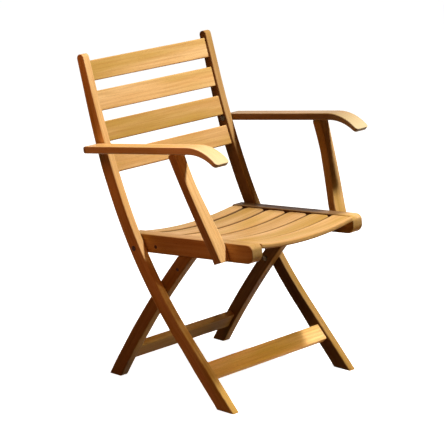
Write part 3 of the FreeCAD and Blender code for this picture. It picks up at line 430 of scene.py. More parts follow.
def make_rear_leg(side_name):
    """A bar of even depth along a circle, its ends cut to the floor and to the rail."""
    length = LEG_RADIUS * (TOP_ANGLE - FOOT_ANGLE)
    stations, shrink = end_rows(length, ease=1.6, inner=np.arange(10, length, 16.0))
    angle = FOOT_ANGLE + stations / LEG_RADIUS
    slant = slant_near_ends(stations, length, -math.tan(FOOT_ANGLE),
                            -math.tan(TOP_ANGLE + SEAT_SLOPE))
    x = (LEG_INNER + LEG_OUTER) / 2 * SIDES[side_name]
    return timber(f"rear_leg_{side_name}", "rear_legs", in_side_view(x, leg_middle(angle)),
                  X_AXIS, in_side_view(0, to_back(-angle)), (LEG_OUTER - LEG_INNER) / 2,
                  LEG_DEPTH / 2, shrink, slant=slant, painted_shade=shade_inside(side_name, LEG_PAINTED_SHADE))


legs = [make_rear_leg(name) for name in SIDES]
print(len(legs), "legs, leaning", round(math.degrees(FOOT_ANGLE), 1), "degrees at the foot and",
      round(math.degrees(TOP_ANGLE), 1), "at the top")

# %% [markdown]
# ## Slats and stretchers
# The four back slats and the two stretchers are flat boards across the chair. Each follows
# the lean of what carries it, and goes a little way into a mortise, so no gap shows.


# %% Boards across the chair
def make_board(node, body, face, lean, height, depth, half_length):
    """A straight board along X whose front face has its middle at a point of the side view."""
    length = 2 * half_length
    stations, shrink = end_rows(length, ease=1.0, inner=np.linspace(5, length - 5, 12))
    middle = np.tile(face + to_back(lean) * depth / 2, (len(stations), 1))
    return timber(node, body, in_side_view(stations - half_length, middle),
                  in_side_view(0, [up_along(lean)]), in_side_view(0, [to_back(lean)]),
                  height / 2, depth / 2, shrink)


def post_at_height(height):
    """Point and lean of the post's front edge at a height, read off a fine table."""
    table = np.linspace(0, POST_LENGTH, 4000)
    points, lean = post_front(table)
    return (np.array([np.interp(height, points[:, 1], points[:, 0]), height]),
            float(np.interp(height, points[:, 1], lean)))


TOP_SLAT_BELOW, SLAT_SPACING, BACK_SLAT_HEIGHT, BACK_SLAT_DEPTH = 43.2, 78.3, 55.0, 16.0
SET_BACK, MORTISE = 7.0, 1.0
STRETCHER_HEIGHT, STRETCHER_DEPTH, STRETCHER_UP = 48.0, 20.0, 137.7
BELOW_HINGE = math.radians(5.2)
boards = []
for number in range(4):
    edge, lean = post_at_height(CHAIR_HEIGHT - TOP_SLAT_BELOW - SLAT_SPACING * number)
    boards.append(make_board(f"back_slat_{number + 1}", "back_frame",
                             edge + to_back(lean) * SET_BACK, lean, BACK_SLAT_HEIGHT,
                             BACK_SLAT_DEPTH, POST_INNER + MORTISE))
front_face = FOOT + up_along(FOOT_LEAN) * STRETCHER_UP + to_back(FOOT_LEAN) * SET_BACK
boards.append(make_board("front_stretcher", "back_frame", front_face, FOOT_LEAN,
                         STRETCHER_HEIGHT, STRETCHER_DEPTH, POST_INNER + MORTISE))
stretcher_angle = LEG_LEAN - BELOW_HINGE
rear_face = leg_middle(stretcher_angle) - STRETCHER_DEPTH / 2 * to_back(-stretcher_angle)
boards.append(make_board("rear_stretcher", "rear_legs", rear_face, -stretcher_angle,
                         STRETCHER_HEIGHT, STRETCHER_DEPTH, LEG_INNER + MORTISE))
print(len(boards), "boards across the chair")

# %% [markdown]
# ## The seat
# The seat lies in a frame of its own, turned by the seat's slope about its hinge. The rails
# carry six slats whose tops are hollow, like a shallow dish: highest at the rails and lowest
# in the middle. A rail's ends are rounded as a hand would cut them: softly in front, where a
# knee meets them, and with a large curve under the rear end, which swings past the post.


# %% Seat rails
def seat_to_chair(y, z):
    """A point of the seat's own frame in the side view: turned by the slope at the hinge."""
    y, z = (np.asarray(v, float)[..., None] for v in (y, z))
    return SEAT_HINGE + y * to_back(SEAT_SLOPE) + z * seat_up


def near_ends(length, first, last, step=14.0):
    """Stations that are close together on the rounded ends and wider apart between."""
    share = 1 - np.cos(np.linspace(0.05, np.pi / 2, 12))
    between = np.arange(first, length - last, step)
    rows = np.concatenate([first * share, length - last * share, between])
    return np.unique(np.round(rows, 3))


RAIL_FRONT, RAIL_REAR = -397.0, 38.5
FRONT_TOP_ROUND, FRONT_BOTTOM_ROUND, REAR_TOP_ROUND, REAR_BOTTOM_ROUND = 17.0, 23.0, 6.0, 34.0
# Painted shadow on the rails' inner faces and tops, heavier on the left rail's top.
RAIL_TOP_SHADOW = {"left": 0.8, "right": 0.2}
SHADOW_START, SHADOW_FADE, RAIL_SHADE = 25.0, 40.0, 1.12


def make_rail(side_name):
    """A straight bar whose top and bottom faces curve in near the ends."""
    length = RAIL_REAR - RAIL_FRONT
    rows = near_ends(length, FRONT_BOTTOM_ROUND, REAR_BOTTOM_ROUND)
    stations, shrink = end_rows(length, ease=2.2, inner=rows)
    to_rear = length - stations
    top = RAIL_TOP - round_off(stations, FRONT_TOP_ROUND) - round_off(to_rear, REAR_TOP_ROUND)
    bottom = (RAIL_BOTTOM + round_off(stations, FRONT_BOTTOM_ROUND)
              + round_off(to_rear, REAR_BOTTOM_ROUND))
    middle = seat_to_chair(RAIL_FRONT + stations, (top + bottom) / 2)
    x = (RAIL_INNER + RAIL_OUTER) / 2 * SIDES[side_name]
    # Painted shadow lies on the inner face and top, fading in a little behind the rounded front
    # end.
    behind = RAIL_SHADE * np.clip((stations - SHADOW_START) / SHADOW_FADE, 0, 1)[:, None]
    return timber(f"seat_rail_{side_name}", "seat", in_side_view(x, middle), X_AXIS,
                  in_side_view(0, [seat_up]), (RAIL_OUTER - RAIL_INNER) / 2,
                  (top - bottom) / 2, shrink, corner=3.2,
                  painted_shade=shade_inside(side_name, behind, 0, behind * RAIL_TOP_SHADOW[side_name]))


rails = [make_rail(name) for name in SIDES]
print("rails", [len(p.data.polygons) for p in rails])

# %% [markdown]
# The slats' ends follow the hollow and meet the rails a little below the rails' tops. Their
# corners are rounded in plan, which leaves the small dark notches of the photograph beside
# the rails. Only the front slat keeps its corners, so that the seat's front edge is whole.

# %% Seat slats
SLAT_PITCH, SLAT_GAP, SLAT_THICK, DISH = 77.5, 6.0, 13.0, 14.0
REAR_SLAT, SLAT_BELOW_RAIL, FRONT_AND_REAR_RISE = 47.3, 5.5, 2.8
SLAT_WIDTH = SLAT_PITCH - SLAT_GAP
PLAN_CORNER, FRONT_PLAN_CORNER = 14.0, 3.0
seat_back = in_side_view(0, [to_back(SEAT_SLOPE)])
DISH_RADIUS = (RAIL_INNER ** 2 + DISH ** 2) / (2 * DISH)


def make_seat_slat(number):
    """A slat whose middle line is part of a circle about an axis high over the seat."""
    width = SLAT_WIDTH if number < 5 else REAR_SLAT
    y = RAIL_FRONT + SLAT_PITCH * number + width / 2
    ends = RAIL_TOP - SLAT_BELOW_RAIL + FRONT_AND_REAR_RISE * ((number - 2.5) / 2.5) ** 2
    half = RAIL_INNER + MORTISE
    rows = near_ends(2 * half, PLAN_CORNER, PLAN_CORNER, step=9)
    stations, shrink = end_rows(2 * half, ease=0.8, inner=rows)
    x = stations - half
    turn = np.arcsin(x / DISH_RADIUS)
    radius = DISH_RADIUS + SLAT_THICK / 2
    spine_z = ends + DISH_RADIUS - DISH - np.cos(turn) * radius
    lift = in_side_view(-np.sin(turn), np.cos(turn)[:, None] * seat_up)
    corner = PLAN_CORNER if number else FRONT_PLAN_CORNER
    half_side = width / 2 - round_off(stations, corner) - round_off(2 * half - stations, corner)
    # Painted shade darkens the slats' walls that face the gaps; the front slat's front face has
    # none.
    front_wall_shade = 1 if number else 0
    return timber(f"seat_slat_{number + 1}", "seat", in_side_view(x, seat_to_chair(y, spine_z)),
                  seat_back, lift, half_side, SLAT_THICK / 2, shrink, corner=4.2,
                  painted_shade=(front_wall_shade, 1, 0))


slats = [make_seat_slat(number) for number in range(6)]

# %% [markdown]
# Under the slats one cross bearer ties the rails together. Its top is hollowed like the
# slats, and its underside is flat.

# %% Seat bearer
BEARER_BACK, BEARER_BOTTOM, BEARER_HALF_WIDTH, BEARER_GAP = -53.5, -12.0, 12.0, 0.3
half = RAIL_INNER + MORTISE
stations, shrink = end_rows(2 * half, ease=0.8, inner=np.linspace(6, 2 * half - 6, 30))
x = stations - half
hollow = -np.sqrt((DISH_RADIUS + SLAT_THICK) ** 2 - x ** 2)
top = RAIL_TOP - SLAT_BELOW_RAIL - SLAT_THICK - BEARER_GAP + hollow - hollow.max()
middle = in_side_view(x, seat_to_chair(BEARER_BACK, (top + BEARER_BOTTOM) / 2))
bearer = timber("seat_bearer", "seat", middle, seat_back, in_side_view(0, [seat_up]),
                BEARER_HALF_WIDTH, (top - BEARER_BOTTOM) / 2, shrink, corner=2.5)
print("bearer", len(bearer.data.polygons), "faces")

# %% [markdown]
# ## Arms
# An arm is a wide flat board that rises a little to the front and curls down at its tip. It
# gets thinner from below toward the tip, its rear end is a full round behind the hinge, and
# its corners are rounded in plan. The curl has a painted highlight, and the rear end painted
# shade.

# %% Arms
ARM_SLOPE = math.radians(8.3)
ARM_THICK, ARM_WIDTH = 19.0, ARM_OUTER - ARM_INNER
ARM_BEHIND, ARM_STRAIGHT, CURL, CURL_RADIUS = 20.0, 358.0, math.radians(48.3), 133.0
ARM_THIN, ARM_OVER_HINGE, REAR_EDGE = 3.2, 7.0, 1.5
ARM_REAR_CORNER, ARM_TIP_CORNER = 6.0, 10.0
# Painted shade on the arm's rear end, and a painted highlight over the curl.
ARM_END_SHADE, ARM_END_SHADE_FADE, CURL_HIGHLIGHT = 1.35, 11.0, 0.52
arm_up, arm_back = up_along(ARM_SLOPE), to_back(ARM_SLOPE)
ARM_UNDER = float(arm_up @ (ARM_TOP_HINGE - ARM_HINGE)) + ARM_OVER_HINGE


def make_arm(side_name):
    """A board that is straight for a run and then turns down about a circle."""
    run = ARM_BEHIND + ARM_STRAIGHT
    middle_radius = CURL_RADIUS - ARM_THICK / 2
    length = run + CURL * middle_radius
    rear_rows = ARM_THICK / 2 * (1 - np.cos(np.linspace(0.2, 1.57, 9)))
    inner = np.concatenate([near_ends(length, 20, ARM_TIP_CORNER, 12), rear_rows])
    stations, shrink = end_rows(length, ease=2.0, inner=np.unique(np.round(inner, 3)))
    turn = np.clip(stations - run, 0, None) / middle_radius
    back = ARM_BEHIND - np.minimum(stations, run) - middle_radius * np.sin(turn)
    height = ARM_UNDER + ARM_THICK / 2 - middle_radius * (1 - np.cos(turn))
    middle = ARM_HINGE + back[:, None] * arm_back + height[:, None] * arm_up
    normal = np.cos(turn)[:, None] * arm_up - np.sin(turn)[:, None] * arm_back
    curled = turn / CURL
    thinner = ARM_THIN * curled ** 1.3
    middle = middle + normal * thinner[:, None]
    half_thick = ARM_THICK / 2 - thinner - round_off(stations, ARM_THICK / 2 - REAR_EDGE)
    half_wide = (ARM_WIDTH / 2 - round_off(stations, ARM_REAR_CORNER)
                 - round_off(length - stations, ARM_TIP_CORNER))
    x = (ARM_INNER + ARM_OUTER) / 2 * SIDES[side_name]
    node = f"arm_{side_name}"
    return timber(node, node, in_side_view(x, middle), X_AXIS, in_side_view(0, normal),
                  half_wide, half_thick, shrink, corner=2.8,
                  painted_shade=shade_inside(side_name, ARM_PAINTED_SHADE),
                  # Painted shade on the rows of the rear end, and a painted highlight over the
                  # curl.
                  shaded_rows=np.clip(ARM_END_SHADE - stations / ARM_END_SHADE_FADE, 0, 1),
                  highlight_rows=CURL_HIGHLIGHT * curled)


arms = [make_arm(name) for name in SIDES]
print("arm underside", round(ARM_UNDER, 2), "mm over its hinge")

# %% [markdown]
# ## Arm posts
# The arm posts stand flat against the rails below and lean outwards above, so that they come
# under the outer half of the arms. Two bars sawn to this outline need both edges to slope,
# so the middle and the half width change along the piece. They bow outwards a little, and
# they widen inwards just under the arm. The top's back corner is a circle about the hinge.

# %% Arm posts
POST_RISE = ARM_TOP_HINGE - ARM_POST_HINGE
ARM_POST_LENGTH = float(np.linalg.norm(POST_RISE))
ARM_POST_LEAN = math.atan2(*POST_RISE)
ARM_POST_BACK, ARM_POST_DEPTH, ARM_POST_FOOT = 7.0, 25.0, 13.0
ARM_POST_KNEE, KNEE_HALF, TOP_FADE = 38.0, 12.0, 40.0
ARM_POST_INNER = (224.0, 224.2, 226.4, ARM_OUTER - 29.0)
ARM_POST_OUTER = (261.0, ARM_OUTER - 0.3)
ARM_POST_BOW, ARM_POST_FLARE, FLARE_START, TOP_PLAY = 2.4, 10.0, 0.62, 0.3
TOP_ROUND, ROUND_FROM = ARM_OVER_HINGE - TOP_PLAY, -1.7
# Painted shade on the outer face of the right arm post.
OUTER_FACE_SHADE = {"left": 0.0, "right": 0.5}
arm_post_up, arm_post_back = up_along(ARM_POST_LEAN), to_back(ARM_POST_LEAN)
TOP_TILT = ARM_POST_LEAN - ARM_SLOPE


def make_arm_post(side_name):
    """A straight bar in the side view whose inner and outer faces have lines of their own."""
    centre_back = ARM_POST_BACK - ARM_POST_DEPTH / 2
    top = ARM_POST_LENGTH + TOP_ROUND / math.cos(TOP_TILT) + math.tan(TOP_TILT) * centre_back
    length = ARM_POST_FOOT + top
    top_rows = length - 9 * (1 - np.cos(np.linspace(1.5, 0.3, 9)))
    rows = np.concatenate([np.arange(8, length - 12, 12.0), top_rows])
    stations, shrink = end_rows(length, ease=1.0, inner=rows)
    w = stations - ARM_POST_FOOT
    inner = np.interp(w, (-ARM_POST_FOOT, ARM_POST_KNEE - KNEE_HALF, ARM_POST_KNEE + KNEE_HALF,
                          ARM_POST_LENGTH), ARM_POST_INNER)
    outer = np.interp(w, (-ARM_POST_FOOT, ARM_POST_LENGTH), ARM_POST_OUTER)
    rise = np.clip((w - ARM_POST_KNEE) / (ARM_POST_LENGTH - ARM_POST_KNEE), 0, 1)
    bow = ARM_POST_BOW * np.sin(np.pi * rise)
    flare = ARM_POST_FLARE * np.clip((rise - FLARE_START) / (1 - FLARE_START), 0, 1) ** 1.5
    outer, inner = outer + bow, inner + bow - flare
    slant = slant_near_ends(stations, length, 0, math.tan(TOP_TILT), TOP_FADE)
    # The back corner of the top is a circle about the hinge, so that the arm can turn on it.
    sine, cosine = math.sin(TOP_TILT), math.cos(TOP_TILT)
    over_hinge = (w - ARM_POST_LENGTH) * cosine - (centre_back - TOP_PLAY) * sine
    reach_back = np.sqrt(np.clip(TOP_ROUND ** 2 - over_hinge ** 2, 0, None))
    back = TOP_PLAY - over_hinge * sine + cosine * reach_back
    cut = np.where(over_hinge > ROUND_FROM, np.clip(ARM_POST_BACK - back, 0, None), 0) / 2
    middle = (ARM_POST_HINGE + (w - slant * cut)[:, None] * arm_post_up
              + (centre_back - cut)[:, None] * arm_post_back)
    middle = in_side_view(SIDES[side_name] * (inner + outer) / 2, middle)
    node = f"arm_post_{side_name}"
    return timber(node, node, middle, X_AXIS, in_side_view(0, [arm_post_back]),
                  (outer - inner) / 2, ARM_POST_DEPTH / 2 - cut, shrink, corner=3.2,
                  slant=slant, along=in_side_view(0, [arm_post_up]),
                  painted_shade=shade_inside(side_name, ARM_POST_PAINTED_SHADE, OUTER_FACE_SHADE[side_name]))


arm_posts = [make_arm_post(name) for name in SIDES]
print(len(arm_posts), "arm posts lean", round(math.degrees(ARM_POST_LEAN), 1), "degrees")

# %% [markdown]
# ## Bolts, washers and plugs
# Bolts, washers, plugs and pins are all round, so each is a profile turned about the hinge's
# own axis, as on a lathe. A row of the profile may also be held under a hexagon's edge.


# %% Turned pieces
def turned(profile, segments=48):
    """A profile (x, radius, flat) turned about the X axis, as a grid of points.

    radius(angle) is the smaller of the profile's radius and flat / cos(angle from the middle
    of the nearest of six flats).
    """
    profile = np.asarray(profile, float)
    angles = np.linspace(0, 2 * np.pi, segments, endpoint=False)
    from_flat = (angles + np.pi / 6) % (np.pi / 3) - np.pi / 6
    radius = np.minimum(profile[:, 1:2], profile[:, 2:3] / np.cos(from_flat))
    x = np.repeat(profile[:, :1], segments, 1)
    return np.stack([x, radius * np.cos(angles), radius * np.sin(angles)], -1)


def make_turned(node, body, grids, suffix, join=between_rows, sharp=32):
    """All the turned solids of one CAD node as a single object, sharp over an angle."""
    faces, start = [], 0
    for grid in grids:
        rows, points = grid.shape[:2]
        faces += [[start + corner for corner in face] for face in join(rows, points)]
        start += rows * points
    mesh = mesh_of(f"{node}_{suffix}", np.concatenate([g.reshape(-1, 3) for g in grids]), faces)
    mesh.set_sharp_from_angle(angle=math.radians(sharp))
    return new_piece(mesh, body, node)


def both_sides(profile, point):
    """The turned profile at a hinge of the side view, left, and its mirror image, right."""
    left = turned(profile) + np.concatenate([[0], point])
    return [left, left[:, ::-1] * (-1, 1, 1)]


print("a turned rod has", turned([(0, 1, 9), (1, 1, 9)]).shape[1], "points round it")

# %% [markdown]
# Each hinge turns on a bolt, except the one under each arm, which has a plate and a pin. The
# bolt has a hexagonal nut against the innermost board, with its end showing inside. A nut is
# a disc whose radius is also held under a hexagon's, which gives it six flats and bevelled
# corners. Only the seat bolt has a head, sunk in the post, and the others end blind in wood.

# %% Bolts
NUT_FLAT, NUT_CORNER, NUT_HEIGHT, NUT_BEVEL = 6.41, 7.4, 4.5, 0.9
SHANK, HEAD_FLAT = 4.0, 5.63
TIP_RADIUS, RECESS_RADIUS, NUT_FACE = 3.3, 4.6, 5.9
EASE, AXIS = 0.3, 0.1
HEAD_AT, HEAD_END = 245.5, 250.0
END_IN_POST, END_IN_ARM, END_IN_ARM_POST = 245.0, 291.0, 248.0
# Wider than any of these pieces: a row without flats, or one that only its flats hold in.
OPEN = 20.0


def bolt_profile(nut_face, far_end, head_at=None):
    """The bolt's end inside its nut, the nut from face to face, the shank, and a head."""
    x = nut_face - NUT_HEIGHT
    rows = [(x + 0.4, AXIS, OPEN), (x + 0.4, TIP_RADIUS, OPEN), (x + 0.7, SHANK - 0.1, OPEN),
            (x + EASE, RECESS_RADIUS - EASE, OPEN), (x, RECESS_RADIUS, OPEN),
            (x, NUT_FACE, OPEN), (x + 0.15, NUT_FACE + 0.5, NUT_FLAT),
            (x + NUT_BEVEL, NUT_CORNER, NUT_FLAT), (nut_face - EASE, NUT_CORNER, NUT_FLAT),
            (nut_face, NUT_CORNER - EASE, NUT_FLAT - 0.2), (nut_face, SHANK, OPEN)]
    if head_at is None:
        return rows + [(far_end, SHANK, OPEN), (far_end, AXIS, OPEN)]
    return rows + [(head_at, SHANK, OPEN), (head_at, OPEN, HEAD_FLAT),
                   (far_end, OPEN, HEAD_FLAT), (far_end, AXIS, OPEN)]


hardware = []
for name, body, inner, far, head_at, point in (
        ("seat_bolts", "back_frame", RAIL_INNER, HEAD_END, HEAD_AT, SEAT_HINGE),
        ("leg_bolts", "back_frame", LEG_INNER, END_IN_POST, None, LEG_HINGE),
        ("arm_bolts", "back_frame", POST_INNER, END_IN_ARM, None, ARM_HINGE),
        ("arm_post_bolts", "seat", RAIL_INNER, END_IN_ARM_POST, None, ARM_POST_HINGE)):
    hardware.append(make_turned(name, body, both_sides(bolt_profile(inner, far, head_at), point),
                                "brass"))
print(len(hardware), "kinds of bolt")

# %% [markdown]
# A washer keeps two turning boards apart. Its section is a small rectangle with eased rims,
# and the surface goes through its hole, so it closes on itself and has no end faces.


# %% Washers
def ring_profile(inner_x, outer_x, hole, radius, ease=0.25):
    """A washer's section: out along one face, over the rim and back along the other."""
    rows = [(inner_x, hole), (inner_x, radius - ease), (inner_x + ease, radius),
            (outer_x - ease, radius), (outer_x, radius - ease), (outer_x, hole)]
    return [(x, r, OPEN) for x, r in rows]


def around_rows(rows, points):
    """The quads of a section whose last row joins its first, so it needs no ends."""
    here = np.arange(rows * points).reshape(rows, points)
    below, right = np.roll(here, -1, 0), np.roll(here, -1, 1)
    return np.stack([here, right, np.roll(below, -1, 1), below], -1).reshape(-1, 4).tolist()


PLAY, WASHER_HOLE, WASHER_RADIUS, ARM_POST_GAP = 0.1, 4.1, 9.0, 1.0
for name, body, inner, outer, point in (
        ("seat_washers", "back_frame", RAIL_OUTER, POST_INNER, SEAT_HINGE),
        ("leg_washers", "back_frame", LEG_OUTER, POST_INNER, LEG_HINGE),
        ("arm_washers", "back_frame", POST_OUTER, ARM_INNER, ARM_HINGE),
        ("arm_post_washers", "seat", RAIL_OUTER, RAIL_OUTER + ARM_POST_GAP, ARM_POST_HINGE)):
    section = ring_profile(inner + PLAY, outer - PLAY, WASHER_HOLE, WASHER_RADIUS)
    hardware.append(make_turned(name, body, both_sides(section, point), "brass",
                                around_rows, 50))
print(len(hardware), "kinds of hardware")

# %% [markdown]
# Plugs of darker wood cover the bolt's head in each post's outer face and close the rails
# where the bearer ends, and a cross pin keeps each rear leg's top from splitting. They are
# sanded almost flush, so only the eased rim stands a hair above the board.


# %% Plugs and pins
def plug_profile(start, face, radius, ease=0.6, proud=0.2):
    """A disc from its hidden end to a face with an eased rim, a hair proud of the board."""
    a = np.linspace(0, np.pi / 2, 5)
    rim = [(face + proud - ease * (1 - np.sin(t)), radius - ease * (1 - np.cos(t))) for t in a]
    rows = [(start, 0.2), (start, radius)] + rim + [(face + proud, radius * 0.5),
                                                    (face + proud, 0.2)]
    return [(x, r, OPEN) for x, r in rows]


SCREW_UP, PLUG_START = 2.7, 217.0
PLUG_RADIUS, SMALL_RADIUS = 7.5, 5.0
PLUG_POINT = seat_to_chair(BEARER_BACK, SCREW_UP)
PIN_POINT = np.array([-37.2, 342.7])
plugs = [make_turned(name, body, both_sides(plug_profile(start, face, radius), point),
                     "wood")
         for name, body, start, face, radius, point in (
             ("post_plugs", "back_frame", HEAD_END, POST_OUTER, PLUG_RADIUS, SEAT_HINGE),
             ("bearer_plugs", "seat", PLUG_START, RAIL_OUTER, SMALL_RADIUS, PLUG_POINT),
             ("leg_top_pins", "rear_legs", LEG_INNER, LEG_OUTER, SMALL_RADIUS, PIN_POINT))]
print(len(plugs), "kinds of plug")

# %% [markdown]
# ## Materials
# Oiled teak is golden with olive patches, darker streaks along the board and fine dark pores,
# and it changes in tone from board to board. The pattern reads the board's own coordinates,
# so it runs along every piece, and it looks cut across at the ends. It is built from
# stretched noise: wide soft bands, narrow streaks, and short pores. Over it lie the board's
# tint, which for some boards also paints light and shade, pale worn edges, a painted highlight
# and painted shade. Dry teak hardly shines. Only the arms, which hands and sleeves polish, are
# glossier, so they have the same wood with more gloss.


# %% Nodes
def feed(tree, socket, value):
    """Link another socket's output to a socket, or set it to a value."""
    if isinstance(value, bpy.types.NodeSocket):
        tree.links.new(value, socket)
    else:
        socket.default_value = value


def add(tree, kind, **inputs):
    """A node with some of its inputs set to a value or linked to a socket."""
    node = tree.nodes.new(kind)
    for name, value in inputs.items():
        feed(tree, node.inputs[name], value)
    return node


def new_material(name):
    """A material with its node tree and its shader."""
    material = bpy.data.materials.new(name)
    material.use_nodes = True
    tree = material.node_tree
    return material, tree, tree.nodes["Principled BSDF"]


def math_node(tree, operation, a, b):
    """The sum, product, difference or larger one of two values."""
    node = tree.nodes.new("ShaderNodeMath")
    node.operation = operation
    for socket, value in zip(node.inputs, (a, b)):
        feed(tree, socket, value)
    return node.outputs[0]


def mix_color(tree, factor, first, second, blend="MIX", clamp=True):
    """first * (1 - factor) + second * factor, or first * second for the blend MULTIPLY."""
    node = tree.nodes.new("ShaderNodeMix")
    node.data_type = "RGBA"
    node.blend_type = blend
    node.clamp_factor = clamp
    for number, value in ((0, factor), (6, first), (7, second)):
        feed(tree, node.inputs[number], value)
    return node.outputs[2]


def layer_over(tree, tone, mask, strength, color):
    """The tone, moved toward a colour by mask * strength."""
    return mix_color(tree, math_node(tree, "MULTIPLY", mask, strength), tone, color)


def attribute(tree, name, output="Fac"):
    """A value that the surface's points carry."""
    node = tree.nodes.new("ShaderNodeAttribute")
    node.attribute_name = name
    return node.outputs[output]


print("node helpers ready")

# %% [markdown]
# Each pattern is noise, stretched along the board by scaling the board's coordinates less
# that way than across. Only the part of its range that matters is spread out to 0 and 1.


# %% Patterns
def stretched_noise(tree, vector, scale, detail, rough, seed):
    """Noise on coordinates scaled by (along, across, through), about 0.5."""
    mapping = add(tree, "ShaderNodeMapping", Vector=vector, Scale=scale, Location=seed)
    noise = add(tree, "ShaderNodeTexNoise", Vector=mapping.outputs[0], Scale=1.0, Detail=detail,
                Roughness=rough)
    return noise.outputs["Fac"]


def pattern(tree, vector, scale, low, high, detail=3.0, rough=0.6, seed=(0, 0, 0)):
    """The part of stretched noise between low and high, spread out to 0 and 1."""
    noise = stretched_noise(tree, vector, scale, detail, rough, seed)
    node = add(tree, "ShaderNodeMapRange", Value=noise)
    node.inputs["From Min"].default_value = low
    node.inputs["From Max"].default_value = high
    return node.outputs[0]


def bump(tree, shader, height, strength, distance):
    """Let a height in the pattern tilt the light on the surface."""
    node = add(tree, "ShaderNodeBump", Height=height, Strength=strength, Distance=distance)
    feed(tree, shader.inputs["Normal"], node.outputs[0])


print("pattern helpers ready")

# %% [markdown]
# The colours are matched to the photograph's boards and mixed from the deepest layer up. The
# roughness follows the streaks and the end grain. Pores and lines tilt the light a little.

# %% Teak
TEAK_GOLD = (0.690, 0.390, 0.130, 1)
TEAK_PALE = (0.800, 0.520, 0.220, 1)
TEAK_OLIVE = (0.520, 0.320, 0.060, 1)
TEAK_BROWN = (0.420, 0.180, 0.040, 1)
TEAK_END = (0.440, 0.280, 0.090, 1)
PORE_BROWN = (0.180, 0.065, 0.018, 1)
DARK_BOARD, PALE_BOARD = (0.49, 0.43, 0.35, 1), (1.14, 1.17, 1.28, 1)
# Rubbed edges, and the colour of the painted highlight.
RUBBED, HIGHLIGHT_COLOR = (0.95, 0.68, 0.38, 1), (0.90, 0.80, 0.50, 1)
# The colour of the painted shade.
PAINTED_SHADE_COLOR = (0.068, 0.027, 0.016, 1)


def make_teak(name, gloss):
    """Teak whose pattern, wear, painted shade and painted highlight come from values kept by each
    board's points.
    """
    material, tree, shader = new_material(name)
    grain = attribute(tree, "grain", "Vector")
    bands = pattern(tree, grain, (1.6, 26, 26), 0.36, 0.66, rough=0.55)
    streaks = pattern(tree, grain, (5, 190, 190), 0.42, 0.68, seed=(3, 1, 7))
    lines = pattern(tree, grain, (9, 620, 620), 0.50, 0.74, detail=2, seed=(5, 2, 4))
    pores = pattern(tree, grain, (130, 2400, 2400), 0.58, 0.72, 2, 0.5, (1, 8, 2))
    hue = pattern(tree, grain, (2.6, 17, 17), 0.42, 0.66, 2, 0.5, (7, 5, 3))
    tone = mix_color(tree, bands, TEAK_GOLD, TEAK_PALE)
    tone = layer_over(tree, tone, hue, 0.80, TEAK_OLIVE)
    tone = layer_over(tree, tone, streaks, 0.42, TEAK_BROWN)
    tone = layer_over(tree, tone, lines, 0.22, TEAK_BROWN)
    tone = layer_over(tree, tone, pores, 0.45, PORE_BROWN)
    # The tint also carries the painted light and shade of the listed boards.
    tint = mix_color(tree, attribute(tree, "board"), DARK_BOARD, PALE_BOARD, clamp=False)
    tone = mix_color(tree, 1.0, tone, tint, "MULTIPLY")
    # The ends show rings instead of streaks.
    ends = attribute(tree, "end_grain")
    rings = pattern(tree, grain, (2, 260, 120), 0.35, 0.70, detail=4, seed=(9, 3, 1))
    end_tone = layer_over(tree, TEAK_END, rings, 0.6, TEAK_BROWN)
    tone = layer_over(tree, tone, ends, 0.75, end_tone)
    # Over the wood lie rubbed edges, a painted highlight and painted shade.
    rub = pattern(tree, grain, (60, 90, 90), 0.40, 0.70, seed=(2, 2, 2))
    rub = math_node(tree, "MULTIPLY", attribute(tree, "wear"), rub)
    tone = layer_over(tree, tone, rub, 0.22, RUBBED)
    tone = mix_color(tree, attribute(tree, "painted_highlight"), tone, HIGHLIGHT_COLOR)
    tone = layer_over(tree, tone, attribute(tree, "painted_shade"), 0.85, PAINTED_SHADE_COLOR)
    feed(tree, shader.inputs["Base Color"], tone)
    rough = math_node(tree, "ADD", 0.31, math_node(tree, "MULTIPLY", streaks, 0.14))
    rough = math_node(tree, "ADD", rough, math_node(tree, "MULTIPLY", ends, 0.18))
    feed(tree, shader.inputs["Roughness"], rough)
    shader.inputs["Specular IOR Level"].default_value = gloss
    relief = math_node(tree, "SUBTRACT", math_node(tree, "MULTIPLY", lines, -0.35), pores)
    bump(tree, shader, relief, 0.22, 0.00025)
    return material


teak, polished_teak = make_teak("teak", 0.012), make_teak("polished_teak", 0.085)
for piece in BOARDS:
    piece.data.materials.append(polished_teak if piece in arms else teak)
print("teak on", len(BOARDS), "pieces")

# %% [markdown]
# The plugs show end grain soaked with oil, so they are dark. The fittings are brass that has
# dulled outdoors, in brown blotches that are rougher where they are darker. The hinge plates
# and pins under the arms keep their CAD meshes, and take the same brass.


# %% Plug wood and brass
def make_plug_wood():
    """Dark end grain with fine specks."""
    material, tree, shader = new_material("plug_wood")
    place = tree.nodes.new("ShaderNodeTexCoord").outputs["Object"]
    speck = pattern(tree, place, (900, 900, 900), 0.35, 0.70)
    tone = mix_color(tree, speck, (0.040, 0.014, 0.006, 1), (0.120, 0.045, 0.016, 1))
    feed(tree, shader.inputs["Base Color"], tone)
    shader.inputs["Roughness"].default_value = 0.55
    shader.inputs["Specular IOR Level"].default_value = 0.08
    bump(tree, shader, speck, 0.25, 0.0002)
    return material


def make_brass():
    """Dulled brass: two tones in blotches, rougher where it is darker."""
    material, tree, shader = new_material("fitting_brass")
    place = tree.nodes.new("ShaderNodeTexCoord").outputs["Object"]
    blotch = pattern(tree, place, (260, 260, 260), 0.38, 0.66, detail=4)
    fine = stretched_noise(tree, place, (1900, 1900, 1900), 2, 0.6, (4, 4, 4))
    tone = mix_color(tree, blotch, (0.075, 0.046, 0.019, 1), (0.030, 0.018, 0.009, 1))
    feed(tree, shader.inputs["Base Color"], tone)
    shader.inputs["Metallic"].default_value = 1.0
    rough = math_node(tree, "ADD", 0.30, math_node(tree, "MULTIPLY", blotch, 0.28))
    feed(tree, shader.inputs["Roughness"], rough)
    bump(tree, shader, fine, 0.10, 0.0001)
    return material


